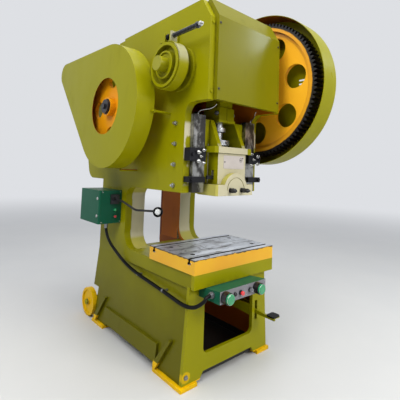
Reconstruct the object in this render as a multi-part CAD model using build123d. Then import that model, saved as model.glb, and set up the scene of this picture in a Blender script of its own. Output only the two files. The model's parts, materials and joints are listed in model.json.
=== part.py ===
from build123d import *
import math
import os

# Mechanical stamping press with an open back, a geared crank drive and a fixed bed.
# Millimetres, +Z up, the front looks along -Y. Below, the slide axis is x = 0, y = 0 and
# the floor is z = 0. The last lines move the whole to the middle of the four foundation
# bolts. Left and right are as seen from the front.

# Fits between pieces
seat_gap = 0.1          # between a fixed piece and the bore or seat that holds it
run_gap = 0.3           # between pieces that turn or slide on one another

# Bed and table
table_w = 850.0
table_d = 540.0
table_t = 100.0
table_top = 855.0
table_front = -250.0    # front edge of the table, from the slide axis
table_hole_r = 105.0
slot_w = 22.0           # narrow part of a T-slot
slot_head_w = 36.0
slot_head_h = 16.0
slot_depth = 40.0
slot_pitch = 270.0
bed_h = 95.0            # height of the bed box under the table
bed_slab_t = 50.0
apron_t = 30.0

# Side plates of the welded frame
side_half = 380.0       # outer face of the inner side plate
plate_t = 36.0
throat_plate_t = 25.0   # stiffening plate welded outside it, round the throat
throat_plate_rear = 905.0
throat_top = 1288.0
throat_back = 730.0
throat_top_r = 100.0
throat_low_r = 130.0
neck_front = -60.0
neck_r = 80.0
head_front = -300.0
head_bottom = 1945.0
head_front_top = 2536.0
roof_front = -210.0
roof_z = 2684.0
roof_back = 1050.0
rear_top = 2440.0
frame_rear = 1250.0

# Flared lower body
skirt_half = 440.0
notch_y = 1150.0        # rear lower corner cut away for the wheels
notch_z = 300.0
front_plate_y = -185.0
front_plate_t = 28.0
front_plate_top_half = 405.0
front_plate_low_half = 447.0
window_half = 262.0
window_low = 182.0
window_high = 560.0
window_r = 45.0
base_bar_t = 22.0
base_bar_low = 60.0
base_bar_h = 128.0
foot_w = 145.0
foot_t = 25.0
foot_bolt_r = 11.0
foot_bolt_x = 350.0
front_bolt_y = -110.0
rear_bolt_y = 1045.0
foot_out = 465.0
foot_len = 330.0
rear_foot_len = 215.0
rib_w = 28.0
rib_run = 118.0          # how far the rib leans back over its height
rib_high = 262.0

# Box columns beside the open back
gap_half = 210.0
column_wall = 24.0
band_t = 30.0
column_depth = 300.0

# Crank drive
crank_z = 2205.0
throw = 65.0            # half of the stroke
journal_r = 70.0
pin_r = 78.0
pin_half = 90.0
web_t = 58.0
bush_t = 14.0
housing_t = 34.0
housing_in = 300.0      # inner end of the crank bearings
housing_out = 440.0
flange_t = 26.0
flange_over = 48.0

# Gears, module 12
module = 12.0
gear_teeth = 100
pinion_teeth = 16
gear_w = 116.0
gear_x = 472.0
gear_rim_t = 42.0
gear_web_t = 38.0
gear_hub_r = 122.0
gear_hole_count = 7
gear_hole_r = 104.0
gear_hole_ring = 392.0
backlash = 1.6
drive_drop = 247.0      # drive shaft below the crank axis
drive_r = 45.0
drive_housing_r = 88.0

# Gear guard
guard_t = 4.0
gear_guard_clear = 68.0
gear_guard_x0 = 462.0
gear_guard_x1 = 650.0
pinion_guard_r = 160.0
louvre_w = 105.0
louvre_h = 14.0
louvre_pitch = 34.0

# Flywheel, belts and motor
fly_r = 482.0
fly_x0 = -684.0
fly_w = 124.0
fly_rim_t = 62.0
fly_web_t = 30.0
fly_hub_r = 78.0
belt_count = 3
belt_pitch = 34.0
belt_w = 22.0
belt_h = 16.0
belt_gap = 0.35          # beside a belt in its groove
flank = 0.34             # lean of a groove wall
groove_depth = 19.0
fly_guard_r = 516.0
fly_guard_x0 = -700.0
fly_guard_x1 = -546.0
fly_guard_hole_r = 236.0
pulley_r = 76.0
pulley_guard_r = 108.0
motor_y = 1618.0
motor_z = 2405.0
motor_r = 126.0
motor_shaft_r = 19.0
motor_x0 = -500.0
motor_len = 390.0
motor_h = 132.0
bracket_t = 24.0
bracket_low = 1330.0
mount_t = 22.0

# Brake on the left end of the crankshaft
drum_r = 164.0
drum_x0 = -574.0
drum_w = 98.0
drum_rim_t = 21.0
drum_hub_r = 102.0
drum_nose_r = 54.0
band_w = 72.0
lining_t = 8.0
brake_band_t = 5.0

# Slide, gibs and connecting rod
slide_half = 155.0
slide_front = -165.0
slide_back = 150.0
slide_bottom = 1270.0
slide_top = 1640.0
cheek_top = 1850.0
cheek_t = 40.0
wing_half = 230.0
wing_point = 262.0
wing_front = 58.0
wing_bottom = 1362.0
gib_front = 95.0
gib_low = 1292.0
gib_high = 1872.0
ledge_half = 207.0
ledge_h = 48.0
ball_z = 1530.0
ball_r = 52.0
neck_screw_r = 34.0
screw_r = 40.0
screw_pitch_gap = 1.0
rod_half = 84.0
rod_eye_r = 136.0
rod_block_low = 1862.0
rod_block_h = 98.0
rod_block_d = 92.0
shank_r = 25.0
shank_len = 75.0
clamp_h = 84.0
clamp_half = 206.0
clamp_t = 48.0
cap_r = 130.0            # round cap of the shank clamp
dial_r = 92.0

# Boxes and small pieces
cab_x = -620.0
cab_y = 810.0
cab_z = 955.0
cab_d = 380.0
cab_h = 290.0
cab_wall = 3.0
desk_x0 = -320.0
desk_x1 = 155.0
desk_y = -390.0
desk_z = 588.0
desk_h = 84.0
desk_wall = 3.0
wheel_r = 130.0
wheel_w = 46.0
wheel_x = 455.0
axle_r = 16.0
hose_r = 11.0
clip_at = (0.42, 0.66)   # places of the clips, as shares of the hose

# Places worked out from the sizes above
plate_in = side_half - plate_t
outer = side_half + throat_plate_t
bed_top = table_top - table_t
bed_low = bed_top - bed_h
skirt_bottom = foot_t
origin_y = (front_bolt_y + rear_bolt_y) / 2
gear_r = module * gear_teeth / 2
pinion_r = module * pinion_teeth / 2
centres = gear_r + pinion_r
drive_z = crank_z - drive_drop
drive_y = math.sqrt(centres**2 - drive_drop**2)
pin_z = crank_z + throw
bush_r = journal_r + run_gap + bush_t
housing_r = bush_r + seat_gap + housing_t

parts = {}


def box(x0, x1, y0, y1, z0, z1):
    """A block between two opposite corners."""
    block = Box(abs(x1 - x0), abs(y1 - y0), abs(z1 - z0))
    return Pos((x0 + x1) / 2, (y0 + y1) / 2, (z0 + z1) / 2) * block


def rod_x(x0, x1, y, z, r):
    """A cylinder along X."""
    bar = Rot(0, 90, 0) * Cylinder(r, abs(x1 - x0))
    return Pos((x0 + x1) / 2, y, z) * bar


def rod_y(y0, y1, x, z, r):
    """A cylinder along Y."""
    bar = Rot(90, 0, 0) * Cylinder(r, abs(y1 - y0))
    return Pos(x, (y0 + y1) / 2, z) * bar


def rod_z(z0, z1, x, y, r):
    """A cylinder along Z."""
    return Pos(x, y, (z0 + z1) / 2) * Cylinder(r, abs(z1 - z0))


def rounded(points, radii=()):
    """A flat outline with some of its corners rounded: radii holds (corner number, radius)."""
    face = Polygon(*points, align=None)
    for number, radius in radii:
        corner = face.vertices().sort_by_distance(Vector(*points[number], 0))[0]
        face = fillet(corner, radius)
    return face


def side(points, x0, x1, radii=()):
    """An outline seen from the side, given as (y, z), made solid between x0 and x1."""
    face = Plane.YZ.offset(min(x0, x1)) * rounded(points, radii)
    return extrude(face, amount=abs(x1 - x0), dir=(1, 0, 0))


def front(points, y0, y1, radii=()):
    """An outline seen from the front, given as (x, z), made solid between y0 and y1."""
    face = Plane.XZ.offset(-max(y0, y1)) * rounded(points, radii)
    return extrude(face, amount=abs(y1 - y0), dir=(0, -1, 0))


def plan(points, z0, z1, radii=()):
    """An outline seen from above, given as (x, y), made solid between z0 and z1."""
    face = Plane.XY.offset(min(z0, z1)) * rounded(points, radii)
    return extrude(face, amount=abs(z1 - z0), dir=(0, 0, 1))


def disc_hull(x0, x1, first, first_r, second, second_r):
    """A flat link shape round two circles, given as (y, z), made solid between x0 and x1."""
    pair = Pos(*first) * Circle(first_r) + Pos(*second) * Circle(second_r)
    face = Plane.YZ.offset(min(x0, x1)) * make_hull(pair.edges())
    return extrude(face, amount=abs(x1 - x0), dir=(1, 0, 0))


def hex_head(x, y, z, size, height, axis="z"):
    """A hexagon head that stands on (x, y, z) and points along the axis."""
    head = extrude(RegularPolygon(size / math.sqrt(3), 6), amount=height)
    turn = {"z": Rot(0, 0, 0), "-y": Rot(90, 0, 0), "-x": Rot(0, -90, 0), "x": Rot(0, 90, 0)}
    return Pos(x, y, z) * turn[axis] * head


def gear_face(teeth, phase_deg):
    """An involute gear outline about the origin, one tooth centred on phase_deg."""
    pitch_r = module * teeth / 2
    base_r = pitch_r * math.cos(math.radians(20))
    tip_r = pitch_r + 0.92 * module
    root_r = pitch_r - 1.22 * module
    start = math.tan(math.radians(20)) - math.radians(20)
    half = math.pi / (2 * teeth) - backlash / (2 * pitch_r) + start
    low_r = max(base_r, root_r) + 0.5
    steps = [low_r + (tip_r - low_r) * k / 3 for k in range(4)]
    flank = []
    for r in steps:
        a = math.acos(base_r / r)
        flank.append((r, half - (math.tan(a) - a)))
    points = []
    for tooth in range(teeth):
        mid = math.radians(phase_deg) + 2 * math.pi * tooth / teeth
        left = [(root_r, -flank[0][1])] + [(r, -a) for r, a in flank]
        right = [(r, a) for r, a in reversed(flank)] + [(root_r, flank[0][1])]
        for r, a in left + right:
            points.append((r * math.cos(mid + a), r * math.sin(mid + a)))
    return make_face(Polyline(*points, close=True))


# Side plates. The outline runs from the bed round the throat and the head to the rear.
side_outline = [
    (table_front + apron_t, bed_low),
    (table_front + apron_t, bed_top),
    (throat_back, bed_top),
    (throat_back, throat_top),
    (neck_front, throat_top),
    (neck_front, head_bottom),
    (head_front, head_bottom),
    (head_front, head_front_top),
    (roof_front, roof_z),
    (roof_back, roof_z),
    (frame_rear, rear_top),
    (frame_rear, bed_low),
]


def throat_corners():
    """The rounded corners that both side outlines share."""
    return [(2, throat_low_r), (3, throat_top_r), (5, neck_r)]


left_side = side(side_outline, -side_half, -plate_in, throat_corners())
skirt_outline = [
    (-side_half, bed_low),
    (-plate_in, bed_low),
    (-skirt_half + plate_t, skirt_bottom),
    (-skirt_half, skirt_bottom),
]
left_side += front(skirt_outline, front_plate_y + front_plate_t, frame_rear)
left_side -= box(-skirt_half - 1, 0, notch_y, frame_rear + 1, 0, notch_z)
bar_lean = (skirt_half - side_half) / (bed_low - skirt_bottom)
bar_high = base_bar_low + base_bar_h
bar_x_low = skirt_half - bar_lean * (base_bar_low - skirt_bottom)
bar_x_high = skirt_half - bar_lean * (bar_high - skirt_bottom)
bar_outline = [
    (-bar_x_low, base_bar_low),
    (-bar_x_low - base_bar_t, base_bar_low),
    (-bar_x_high - base_bar_t, bar_high),
    (-bar_x_high, bar_high),
]
bar_front = front_plate_y + foot_len - 30
bar_rear = notch_y - rear_foot_len
left_side += front(bar_outline, bar_front, bar_rear)
left_side -= box(-skirt_half - 1, 0, bar_front + 20, bar_rear - 20, 0, base_bar_low)
left_side -= rod_x(-side_half - 1, -plate_in + 1, 0, crank_z, housing_r + seat_gap)
drive_bore_r = drive_housing_r + seat_gap
left_side -= rod_x(-side_half - 1, -plate_in + 1, drive_y, drive_z, drive_bore_r)
parts["side_plate_left"] = left_side

# Stiffening plates round the throat, 25 mm proud of the side plates.
throat_outline = [
    (table_front + apron_t, bed_low - 10),
    (table_front + apron_t, bed_top),
    (throat_back, bed_top),
    (throat_back, throat_top),
    (neck_front, throat_top),
    (neck_front, head_bottom),
    (head_front, head_bottom),
    (head_front, head_front_top),
    (roof_front, roof_z),
    (throat_plate_rear, roof_z),
    (throat_plate_rear, bed_low - 10),
]
left_throat = side(throat_outline, -outer, -side_half, throat_corners() + [(10, 60.0)])
left_throat -= rod_x(-outer - 1, -side_half + 1, 0, crank_z, housing_r + seat_gap)
left_throat -= rod_x(-outer - 1, -side_half + 1, drive_y, drive_z, drive_bore_r)
front_skirt_cut = side([(front_plate_y + front_plate_t, 0), (front_plate_y + front_plate_t, bed_low),
                        (table_front, bed_low), (table_front, 0)], -outer - 1, -side_half + 1)
left_throat -= front_skirt_cut
parts["side_plate_left"] += left_throat

# Bed box: apron in front, thick slab under the table with the drop opening.
apron = box(-table_w / 2, table_w / 2, table_front, table_front + apron_t, bed_low, bed_top)
slab_y0 = table_front + apron_t
slab = box(-plate_in, plate_in, slab_y0, throat_back, bed_top - bed_slab_t, bed_top)
slab -= rod_z(bed_low, bed_top + 1, 0, 0, table_hole_r + 15)
rib_y = front_plate_y + front_plate_t
slab += box(-plate_in, plate_in, rib_y, rib_y + 24, bed_low - 60, bed_top - bed_slab_t)
slab += box(-plate_in, plate_in, 330, 354, bed_low - 60, bed_top - bed_slab_t)
slab += box(-plate_in, plate_in, throat_back - 24, throat_back, bed_low - 60, bed_top - bed_slab_t)
parts["bed_box"] = apron + slab

# Front plate with flared legs, its window, and the slot for the pedal.
front_outline = [
    (-front_plate_top_half, bed_low),
    (front_plate_top_half, bed_low),
    (front_plate_low_half, foot_t),
    (-front_plate_low_half, foot_t),
]
face = front(front_outline, front_plate_y, front_plate_y + front_plate_t)
window = [
    (-window_half, window_low),
    (window_half, window_low),
    (window_half, window_high),
    (-window_half, window_high),
]
face -= front(window, front_plate_y - 1, front_plate_y + front_plate_t + 1,
              [(k, window_r) for k in range(4)])
arch = [
    (-front_plate_low_half + foot_w, 0),
    (-front_plate_low_half + foot_w + 45, foot_t + 45),
    (front_plate_low_half - foot_w - 45, foot_t + 45),
    (front_plate_low_half - foot_w, 0),
]
face -= front(arch, front_plate_y - 1, front_plate_y + front_plate_t + 1)
pedal_x = 308.0
pedal_slot_w = 30.0
pedal_slot_low = 272.0
pedal_slot_high = 420.0
face -= box(pedal_x - pedal_slot_w / 2, pedal_x + pedal_slot_w / 2, front_plate_y - 1,
            front_plate_y + front_plate_t + 1, pedal_slot_low, pedal_slot_high)
parts["front_plate"] = face


def foot(y0, length, rib_y):
    """A left foot plate and the slanted rib that stands on it, outside the skirt."""
    plate = box(-foot_out, -foot_out + foot_w, y0, y0 + length, 0, foot_t)
    for y in (front_bolt_y, rear_bolt_y):
        plate -= rod_z(-1, foot_t + 1, -foot_bolt_x, y, foot_bolt_r)
    rib = side([(rib_y, foot_t), (rib_y + rib_w, foot_t), (rib_y + rib_w, foot_t + 36),
                (rib_y - rib_run, rib_high), (rib_y - rib_run - rib_w, rib_high)],
               -foot_out, -side_half)
    lean_high = side_half + bar_lean * (bed_low - rib_high)
    lean_low = side_half + bar_lean * (bed_low - foot_t)
    rib &= front([(-lean_low, foot_t), (-lean_high, rib_high), (-lean_high - rib_w, rib_high),
                  (-foot_out, base_bar_low), (-foot_out, foot_t)], y0 - 200, y0 + length)
    return plate + rib


front_foot = foot(front_plate_y - 14, foot_len, front_plate_y + foot_len - 14 - rib_w)
rear_foot = foot(notch_y - rear_foot_len, rear_foot_len, notch_y - 60)
gib_z = [gib_low + 45, gib_low + 200, gib_low + 355, gib_low + 510]
gib_y = 42.0
for z in gib_z:
    hole = rod_x(-outer - 1, -plate_in + 1, gib_y, z, 9 + seat_gap)
    parts["side_plate_left"] -= hole
parts["side_plate_left"] += front_foot
parts["side_plate_left"] += rear_foot

# Box columns: bent band round the back of the throat, inner wall and rear wall.
throat_space = rounded([(300, bed_top), (throat_back, bed_top), (throat_back, throat_top),
                        (300, throat_top)], [(1, throat_low_r), (2, throat_top_r)])
band_space = rounded([(300, bed_top - band_t), (throat_back + band_t, bed_top - band_t),
                      (throat_back + band_t, throat_top + band_t), (300, throat_top + band_t)],
                     [(1, throat_low_r + band_t), (2, throat_top_r + band_t)])
band_face = band_space - throat_space
band = extrude(Plane.YZ.offset(-plate_in) * band_face, amount=plate_in - gap_half,
               dir=(1, 0, 0))
band &= box(-plate_in, 0, 400, throat_back + band_t, bed_top, throat_top + band_t)
wall_y1 = throat_back + band_t + column_depth
wall = box(-gap_half - column_wall, -gap_half, throat_back, wall_y1, bed_top, head_bottom)
wall -= side([(0, 0), (throat_back + band_t, 0), (throat_back + band_t, throat_top + band_t),
              (0, throat_top + band_t)], -plate_in, 0,
             [(1, 1.0), (2, throat_top_r + band_t)])
rear_wall = box(-plate_in, -gap_half - column_wall, wall_y1 - column_wall, wall_y1,
                bed_top, head_bottom)
wall += rear_wall
wall &= box(-plate_in, 0, throat_back + 1, wall_y1, bed_top, head_bottom)
column = band + wall
drive_pass = rod_x(-plate_in - 1, 0, drive_y, drive_z, drive_housing_r + 4)
column -= drive_pass
parts["columns"] = Compound(children=[column.solid(), mirror(column, about=Plane.YZ).solid()])

# Head: roof plate, rear plate with the motor side open below, and two cross ties.
sheet_t = 12.0
roof_outline = [
    (roof_front, roof_z),
    (roof_back, roof_z),
    (frame_rear, rear_top),
    (frame_rear, throat_top + 60),
    (frame_rear - sheet_t, throat_top + 60),
    (frame_rear - sheet_t, rear_top - 5),
    (roof_back - 5, roof_z - sheet_t),
    (roof_front + 6, roof_z - sheet_t),
]
parts["roof_plate"] = side(roof_outline, -plate_in, plate_in)
tie_r = 28.0
ties = rod_x(-plate_in, plate_in, 320, 1420, tie_r)
ties += rod_x(-plate_in, plate_in, 1120, 1420, tie_r)
tie_low = skirt_bottom + 20
tie_high = 330.0
tie_x_low = plate_in + bar_lean * (bed_low - tie_low)
tie_x_high = plate_in + bar_lean * (bed_low - tie_high)
rear_tie = front([(-tie_x_low, tie_low), (tie_x_low, tie_low), (tie_x_high, tie_high),
                  (-tie_x_high, tie_high)], notch_y - 30, notch_y - 6)
lug_x0 = 358.0
lug_t = 24.0
wheel_y = notch_y + wheel_r + 10
for s in (-1, 1):
    lug = side([(notch_y - 6, wheel_r - 40), (wheel_y + 34, wheel_r - 34),
                (wheel_y + 34, wheel_r + 34), (notch_y - 6, wheel_r + 90)],
               s * lug_x0, s * (lug_x0 + lug_t), [(1, 30.0), (2, 30.0)])
    rear_tie += lug
for s in (-1, 1):
    x1 = s * (lug_x0 + lug_t)
    rear_tie += rod_x(s * lug_x0, s * (wheel_x + 10), wheel_y, wheel_r, axle_r)
    rear_tie += rod_x(x1, s * (wheel_x - wheel_w - 1), wheel_y, wheel_r, axle_r + 8)
    rear_tie += hex_head(s * (wheel_x + 1), wheel_y, wheel_r, 44, 16, "x" if s > 0 else "-x")
tie_solids = ties.solids() + [rear_tie.solid()]
parts["frame_ties"] = Compound(children=tie_solids)

# Crank bearings: housings in the side plates with bronze bushes.
housings = []
bushes = []
for s in (-1, 1):
    body = rod_x(s * housing_in, s * housing_out, 0, crank_z, housing_r)
    body += rod_x(s * outer, s * (outer + flange_t), 0, crank_z, housing_r + flange_over)
    body -= rod_x(s * (housing_in - 1), s * (housing_out + 1), 0, crank_z, bush_r + seat_gap)
    housings.append(body.solid())
    bush = rod_x(s * housing_in, s * housing_out, 0, crank_z, bush_r)
    bush -= rod_x(s * (housing_in - 1), s * (housing_out + 1), 0, crank_z, journal_r + run_gap)
    bushes.append(bush.solid())
parts["crank_housings"] = Compound(children=housings)
parts["crank_bushes"] = Compound(children=bushes)

# Crankshaft, throw up at the top of the stroke.
left_end = drum_x0 - 26
right_end = gear_x + gear_w + 12
shaft = rod_x(left_end, -pin_half, 0, crank_z, journal_r)
shaft += rod_x(pin_half, right_end, 0, crank_z, journal_r)
shaft += rod_x(-pin_half, pin_half, 0, pin_z, pin_r)
for s in (-1, 1):
    web = disc_hull(s * pin_half, s * (pin_half + web_t), (0, crank_z - 20), 104,
                    (0, pin_z + 6), 104)
    shaft += web
shaft = shaft - rod_x(left_end - 1, left_end + 14, 0, crank_z, 12)
parts["crankshaft"] = shaft

# Bull gear on its own bush, free on the shaft until the key clutch locks it.
to_pinion = math.degrees(math.atan2(drive_z - crank_z, drive_y))
gear_outline = gear_face(gear_teeth, to_pinion + 180.0 / gear_teeth)
web_x0 = gear_x + (gear_w - gear_web_t) / 2
rim_r = gear_r - gear_rim_t - 1.22 * module
at_gear = Plane.YZ.offset(gear_x) * (Pos(0, crank_z) * gear_outline)
gear = extrude(at_gear, amount=gear_w, dir=(1, 0, 0))
gear -= rod_x(gear_x - 1, gear_x + gear_w + 1, 0, crank_z, rim_r)
gear_web = rod_x(web_x0, web_x0 + gear_web_t, 0, crank_z, rim_r)
for k in range(gear_hole_count):
    a = math.radians(169 + 360.0 * k / gear_hole_count)
    gear_web -= rod_x(web_x0 - 1, web_x0 + gear_web_t + 1, gear_hole_ring * math.cos(a),
                      crank_z + gear_hole_ring * math.sin(a), gear_hole_r)
hub_x0 = gear_x - 10
hub_x1 = gear_x + gear_w + 10
gear_web += rod_x(hub_x0, hub_x1, 0, crank_z, gear_hub_r)
gear = gear + gear_web
gear -= rod_x(hub_x0 - 1, hub_x1 + 1, 0, crank_z, bush_r + seat_gap)
parts["bull_gear"] = gear
gear_bush = rod_x(hub_x0, hub_x1, 0, crank_z, bush_r)
gear_bush -= rod_x(hub_x0 - 1, hub_x1 + 1, 0, crank_z, journal_r + run_gap)
parts["gear_bush"] = gear_bush
end_cap = rod_x(right_end, right_end + 10, 0, crank_z, journal_r + 18)
end_cap += hex_head(right_end + 10, 0, crank_z, 46, 16, "x")
parts["crankshaft"] += end_cap

# Drive shaft with the pinion, and its housings in the side plates.
drive_left = fly_x0 - 8
drive_right = gear_x + gear_w + 12
drive_shaft = rod_x(drive_left, drive_right, drive_y, drive_z, drive_r)
pinion_face = gear_face(pinion_teeth, to_pinion + 180)
at_pinion = Plane.YZ.offset(gear_x - 3) * (Pos(drive_y, drive_z) * pinion_face)
pinion = extrude(at_pinion, amount=gear_w + 6, dir=(1, 0, 0))
parts["pinion_shaft"] = drive_shaft + pinion
bearings = []
for s in (-1, 1):
    body = rod_x(s * (plate_in - 40), s * (outer + 30), drive_y, drive_z, drive_housing_r)
    body += rod_x(s * outer, s * (outer + 20), drive_y, drive_z, drive_housing_r + 34)
    body -= rod_x(s * (plate_in - 41), s * (outer + 31), drive_y, drive_z, drive_r + run_gap)
    bearings.append(body.solid())
parts["drive_bearings"] = Compound(children=bearings)

# Flywheel with V-grooves for the belts.
fly_x1 = fly_x0 + fly_w
rim = rod_x(fly_x0, fly_x1, drive_y, drive_z, fly_r)
rim -= rod_x(fly_x0 - 1, fly_x1 + 1, drive_y, drive_z, fly_r - fly_rim_t)
belt_x = []
for k in range(belt_count):
    belt_x.append(fly_x0 + fly_w / 2 + (k - (belt_count - 1) / 2) * belt_pitch)


def groove_cut(x, y, z, r):
    """A V-groove round a pulley of radius r, centred on x."""
    half = belt_w / 2 + belt_gap
    low = half - (groove_depth + 1) * flank
    outline = Polygon((x - half, r + 1), (x + half, r + 1), (x + low, r - groove_depth),
                      (x - low, r - groove_depth), align=None)
    ring = revolve(Plane.XZ * outline, Axis.X, 360)
    return Pos(0, y, z) * ring


for x in belt_x:
    rim -= groove_cut(x, drive_y, drive_z, fly_r)
web_mid = fly_x0 + fly_w * 0.42
disc = rod_x(web_mid, web_mid + fly_web_t, drive_y, drive_z, fly_r - fly_rim_t)
for k in range(4):
    a = math.radians(90 + 90 * k)
    disc -= rod_x(web_mid - 1, web_mid + fly_web_t + 1, drive_y + 240 * math.cos(a),
                  drive_z + 240 * math.sin(a), 74)
disc += rod_x(fly_x0 + 4, fly_x1 + 10, drive_y, drive_z, fly_hub_r)
flywheel = rim + disc
flywheel -= rod_x(fly_x0 - 1, fly_x1 + 11, drive_y, drive_z, drive_r + seat_gap)
parts["flywheel"] = flywheel
fly_nut = rod_x(fly_x0 - 14, fly_x0 + 3.8, drive_y, drive_z, 58)
fly_nut += hex_head(fly_x0 - 14, drive_y, drive_z, 40, 16, "-x")
parts["pinion_shaft"] += fly_nut

# Motor with its pulley on a bracket behind the head.
parts["motor_pulley"] = rod_x(fly_x0, fly_x1, motor_y, motor_z, pulley_r)
for x in belt_x:
    parts["motor_pulley"] -= groove_cut(x, motor_y, motor_z, pulley_r)
parts["motor_pulley"] += rod_x(fly_x1 - 1, motor_x0 + 30, motor_y, motor_z, motor_shaft_r)
motor_x1 = motor_x0 + motor_len
motor = rod_x(motor_x0 + 22, motor_x1 - 60, motor_y, motor_z, motor_r - 14)
for k in range(16):
    a = 360.0 * k / 16 + 11.25
    fin = box(motor_x0 + 30, motor_x1 - 70, -4, 4, motor_r - 22, motor_r)
    motor += Pos(0, motor_y, motor_z) * Rot(a, 0, 0) * fin
motor += rod_x(motor_x0, motor_x0 + 30, motor_y, motor_z, motor_r)
motor += rod_x(motor_x1 - 70, motor_x1, motor_y, motor_z, motor_r)
motor -= rod_x(motor_x0 - 1, motor_x0 + 34, motor_y, motor_z, motor_shaft_r + run_gap)
for s in (-1, 1):
    pad = box(motor_x0 + 60, motor_x1 - 100, motor_y + s * 75, motor_y + s * 125,
              motor_z - motor_h, motor_z - motor_h + 18)
    pad += box(motor_x0 + 60, motor_x1 - 100, motor_y + s * 75, motor_y + s * 93,
               motor_z - motor_h, motor_z - 70)
    motor += pad
motor += box(motor_x0 + 110, motor_x0 + 230, motor_y - 60, motor_y + 60, motor_z + 90,
             motor_z + motor_r + 44)
parts["motor"] = motor
mount_z = motor_z - motor_h
mount = box(motor_x0 - 10, motor_x1 + 10, frame_rear, motor_y + 180, mount_z - mount_t, mount_z)
bracket_outline = [
    (frame_rear, bracket_low),
    (frame_rear + 330, bracket_low),
    (motor_y + 160, mount_z - mount_t - 330),
    (motor_y + 160, mount_z - mount_t),
    (frame_rear, mount_z - mount_t),
]


def bracket_cheek(x0):
    """One cheek of the motor bracket, from x0 towards the right."""
    return side(bracket_outline, x0, x0 + bracket_t, [(1, 130.0), (2, 160.0)])


near = bracket_cheek(-side_half)
far = bracket_cheek(motor_x1 - bracket_t)
parts["motor_bracket"] = mount + near + far

# Belts: closed loops round the two pulleys, a little above the groove flanks.
belts = []
for x in belt_x:
    outer_loop = disc_hull(x - belt_w / 2, x + belt_w / 2, (drive_y, drive_z),
                           fly_r + 1, (motor_y, motor_z), pulley_r + 1)
    inner_loop = disc_hull(x - belt_w, x + belt_w, (drive_y, drive_z),
                           fly_r + 1 - belt_h, (motor_y, motor_z), pulley_r + 1 - belt_h)
    loop = outer_loop - inner_loop
    belts.append(loop)
for k, x in enumerate(belt_x):
    for s in (-1, 1):
        wedge_r = fly_r + 1 - belt_h
        lean = (belt_h + 1) * flank
        edge = x + s * belt_w / 2
        cone_fly = Polygon((edge - s * lean, wedge_r - 1), (edge, fly_r + 1), (edge + s, fly_r + 1),
                           (edge + s, wedge_r - 1), align=None)
        ring = Pos(0, drive_y, drive_z) * revolve(Plane.XZ * cone_fly, Axis.X, 360)
        wedge_p = pulley_r + 1 - belt_h
        cone_pul = Polygon((edge - s * lean, wedge_p - 1), (edge, pulley_r + 1),
                           (edge + s, pulley_r + 1), (edge + s, wedge_p - 1), align=None)
        ring_p = Pos(0, motor_y, motor_z) * revolve(Plane.XZ * cone_pul, Axis.X, 360)
        belts[k] = belts[k] - ring - ring_p
parts["v_belts"] = Compound(children=[b.solid() for b in belts])

# Guards: sheet pans, open towards the frame.
motor_at = (motor_y, motor_z)
drive_at = (drive_y, drive_z)
pan = disc_hull(fly_guard_x0, fly_guard_x1, drive_at, fly_guard_r, motor_at, pulley_guard_r)
pan -= disc_hull(fly_guard_x0 + guard_t, fly_guard_x1 + 1, drive_at, fly_guard_r - guard_t,
                 motor_at, pulley_guard_r - guard_t)
pan -= rod_x(fly_guard_x0 - 1, fly_guard_x0 + guard_t + 1, drive_y, drive_z, fly_guard_hole_r)
parts["flywheel_guard"] = pan
crank_at = (0, crank_z)
gear_guard_r = gear_r + module + gear_guard_clear
pan = disc_hull(gear_guard_x0, gear_guard_x1, crank_at, gear_guard_r, drive_at, pinion_guard_r)
pan -= disc_hull(gear_guard_x0 - 1, gear_guard_x1 - guard_t, crank_at, gear_guard_r - guard_t,
                 drive_at, pinion_guard_r - guard_t)
for s in (-1, 1):
    for k in range(5):
        z = crank_z + (k - 2) * louvre_pitch
        y = s * gear_hole_ring
        pan -= box(gear_guard_x1 - guard_t - 1, gear_guard_x1 + 1, y - louvre_w / 2,
                   y + louvre_w / 2, z - louvre_h / 2, z + louvre_h / 2)
parts["gear_guard"] = pan
stay_r = 9.0
stay_tab = 30.0


def stay(about, radius, angle, seat_x, tab_x):
    """A guard stay: a bar from the side plate to a tab that stands on the guard's rim."""
    a = math.radians(angle)
    y = about[0] + (radius + stay_tab / 2) * math.cos(a)
    z = about[1] + (radius + stay_tab / 2) * math.sin(a)
    s = 1 if tab_x > 0 else -1
    tab = box(tab_x - 3, tab_x + 3, radius - 2, radius + stay_tab, -stay_tab / 2, stay_tab / 2)
    tab = Pos(0, about[0], about[1]) * Rot(angle, 0, 0) * tab
    return tab + rod_x(seat_x, tab_x + s * 14, y, z, stay_r)


stays = [stay(drive_at, fly_guard_r, 188, -outer, fly_guard_x1 - 12)]
stays.append(stay(drive_at, fly_guard_r, 262, -outer, fly_guard_x1 - 12))
stays.append(stay(drive_at, fly_guard_r, 308, -side_half, fly_guard_x1 - 12))
stays.append(stay(crank_at, gear_guard_r, 40, outer, gear_guard_x0 + 12))
stays.append(stay(crank_at, gear_guard_r, 281, outer, gear_guard_x0 + 12))
stays.append(stay(drive_at, pinion_guard_r, 300, outer, gear_guard_x0 + 12))
for bar in stays[:3]:
    parts["flywheel_guard"] += bar
for bar in stays[3:]:
    parts["gear_guard"] += bar

# Brake drum, its band with the lining, and the spring bolt that closes it.
drum = rod_x(drum_x0, drum_x0 + drum_w, 0, crank_z, drum_r)
recess = rod_x(drum_x0 - 1, drum_x0 + 40, 0, crank_z, drum_r - drum_rim_t)
recess -= rod_x(drum_x0 - 2, drum_x0 + 41, 0, crank_z, drum_hub_r)
drum -= recess
drum -= rod_x(drum_x0 - 1, drum_x0 + 10, 0, crank_z, drum_hub_r - 14)
stub_r = journal_r - 20
parts["brake_drum"] = drum - rod_x(drum_x0 - 1, drum_x0 + drum_w + 1, 0, crank_z,
                                   stub_r + seat_gap)
band_x0 = drum_x0 + (drum_w - band_w) / 2
band_x1 = band_x0 + band_w
lining_r = drum_r + run_gap
opening = side([(0, crank_z), (-46, crank_z + 300), (46, crank_z + 300)], band_x0 - 1, band_x1 + 1)
lining = rod_x(band_x0, band_x1, 0, crank_z, lining_r + lining_t)
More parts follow.
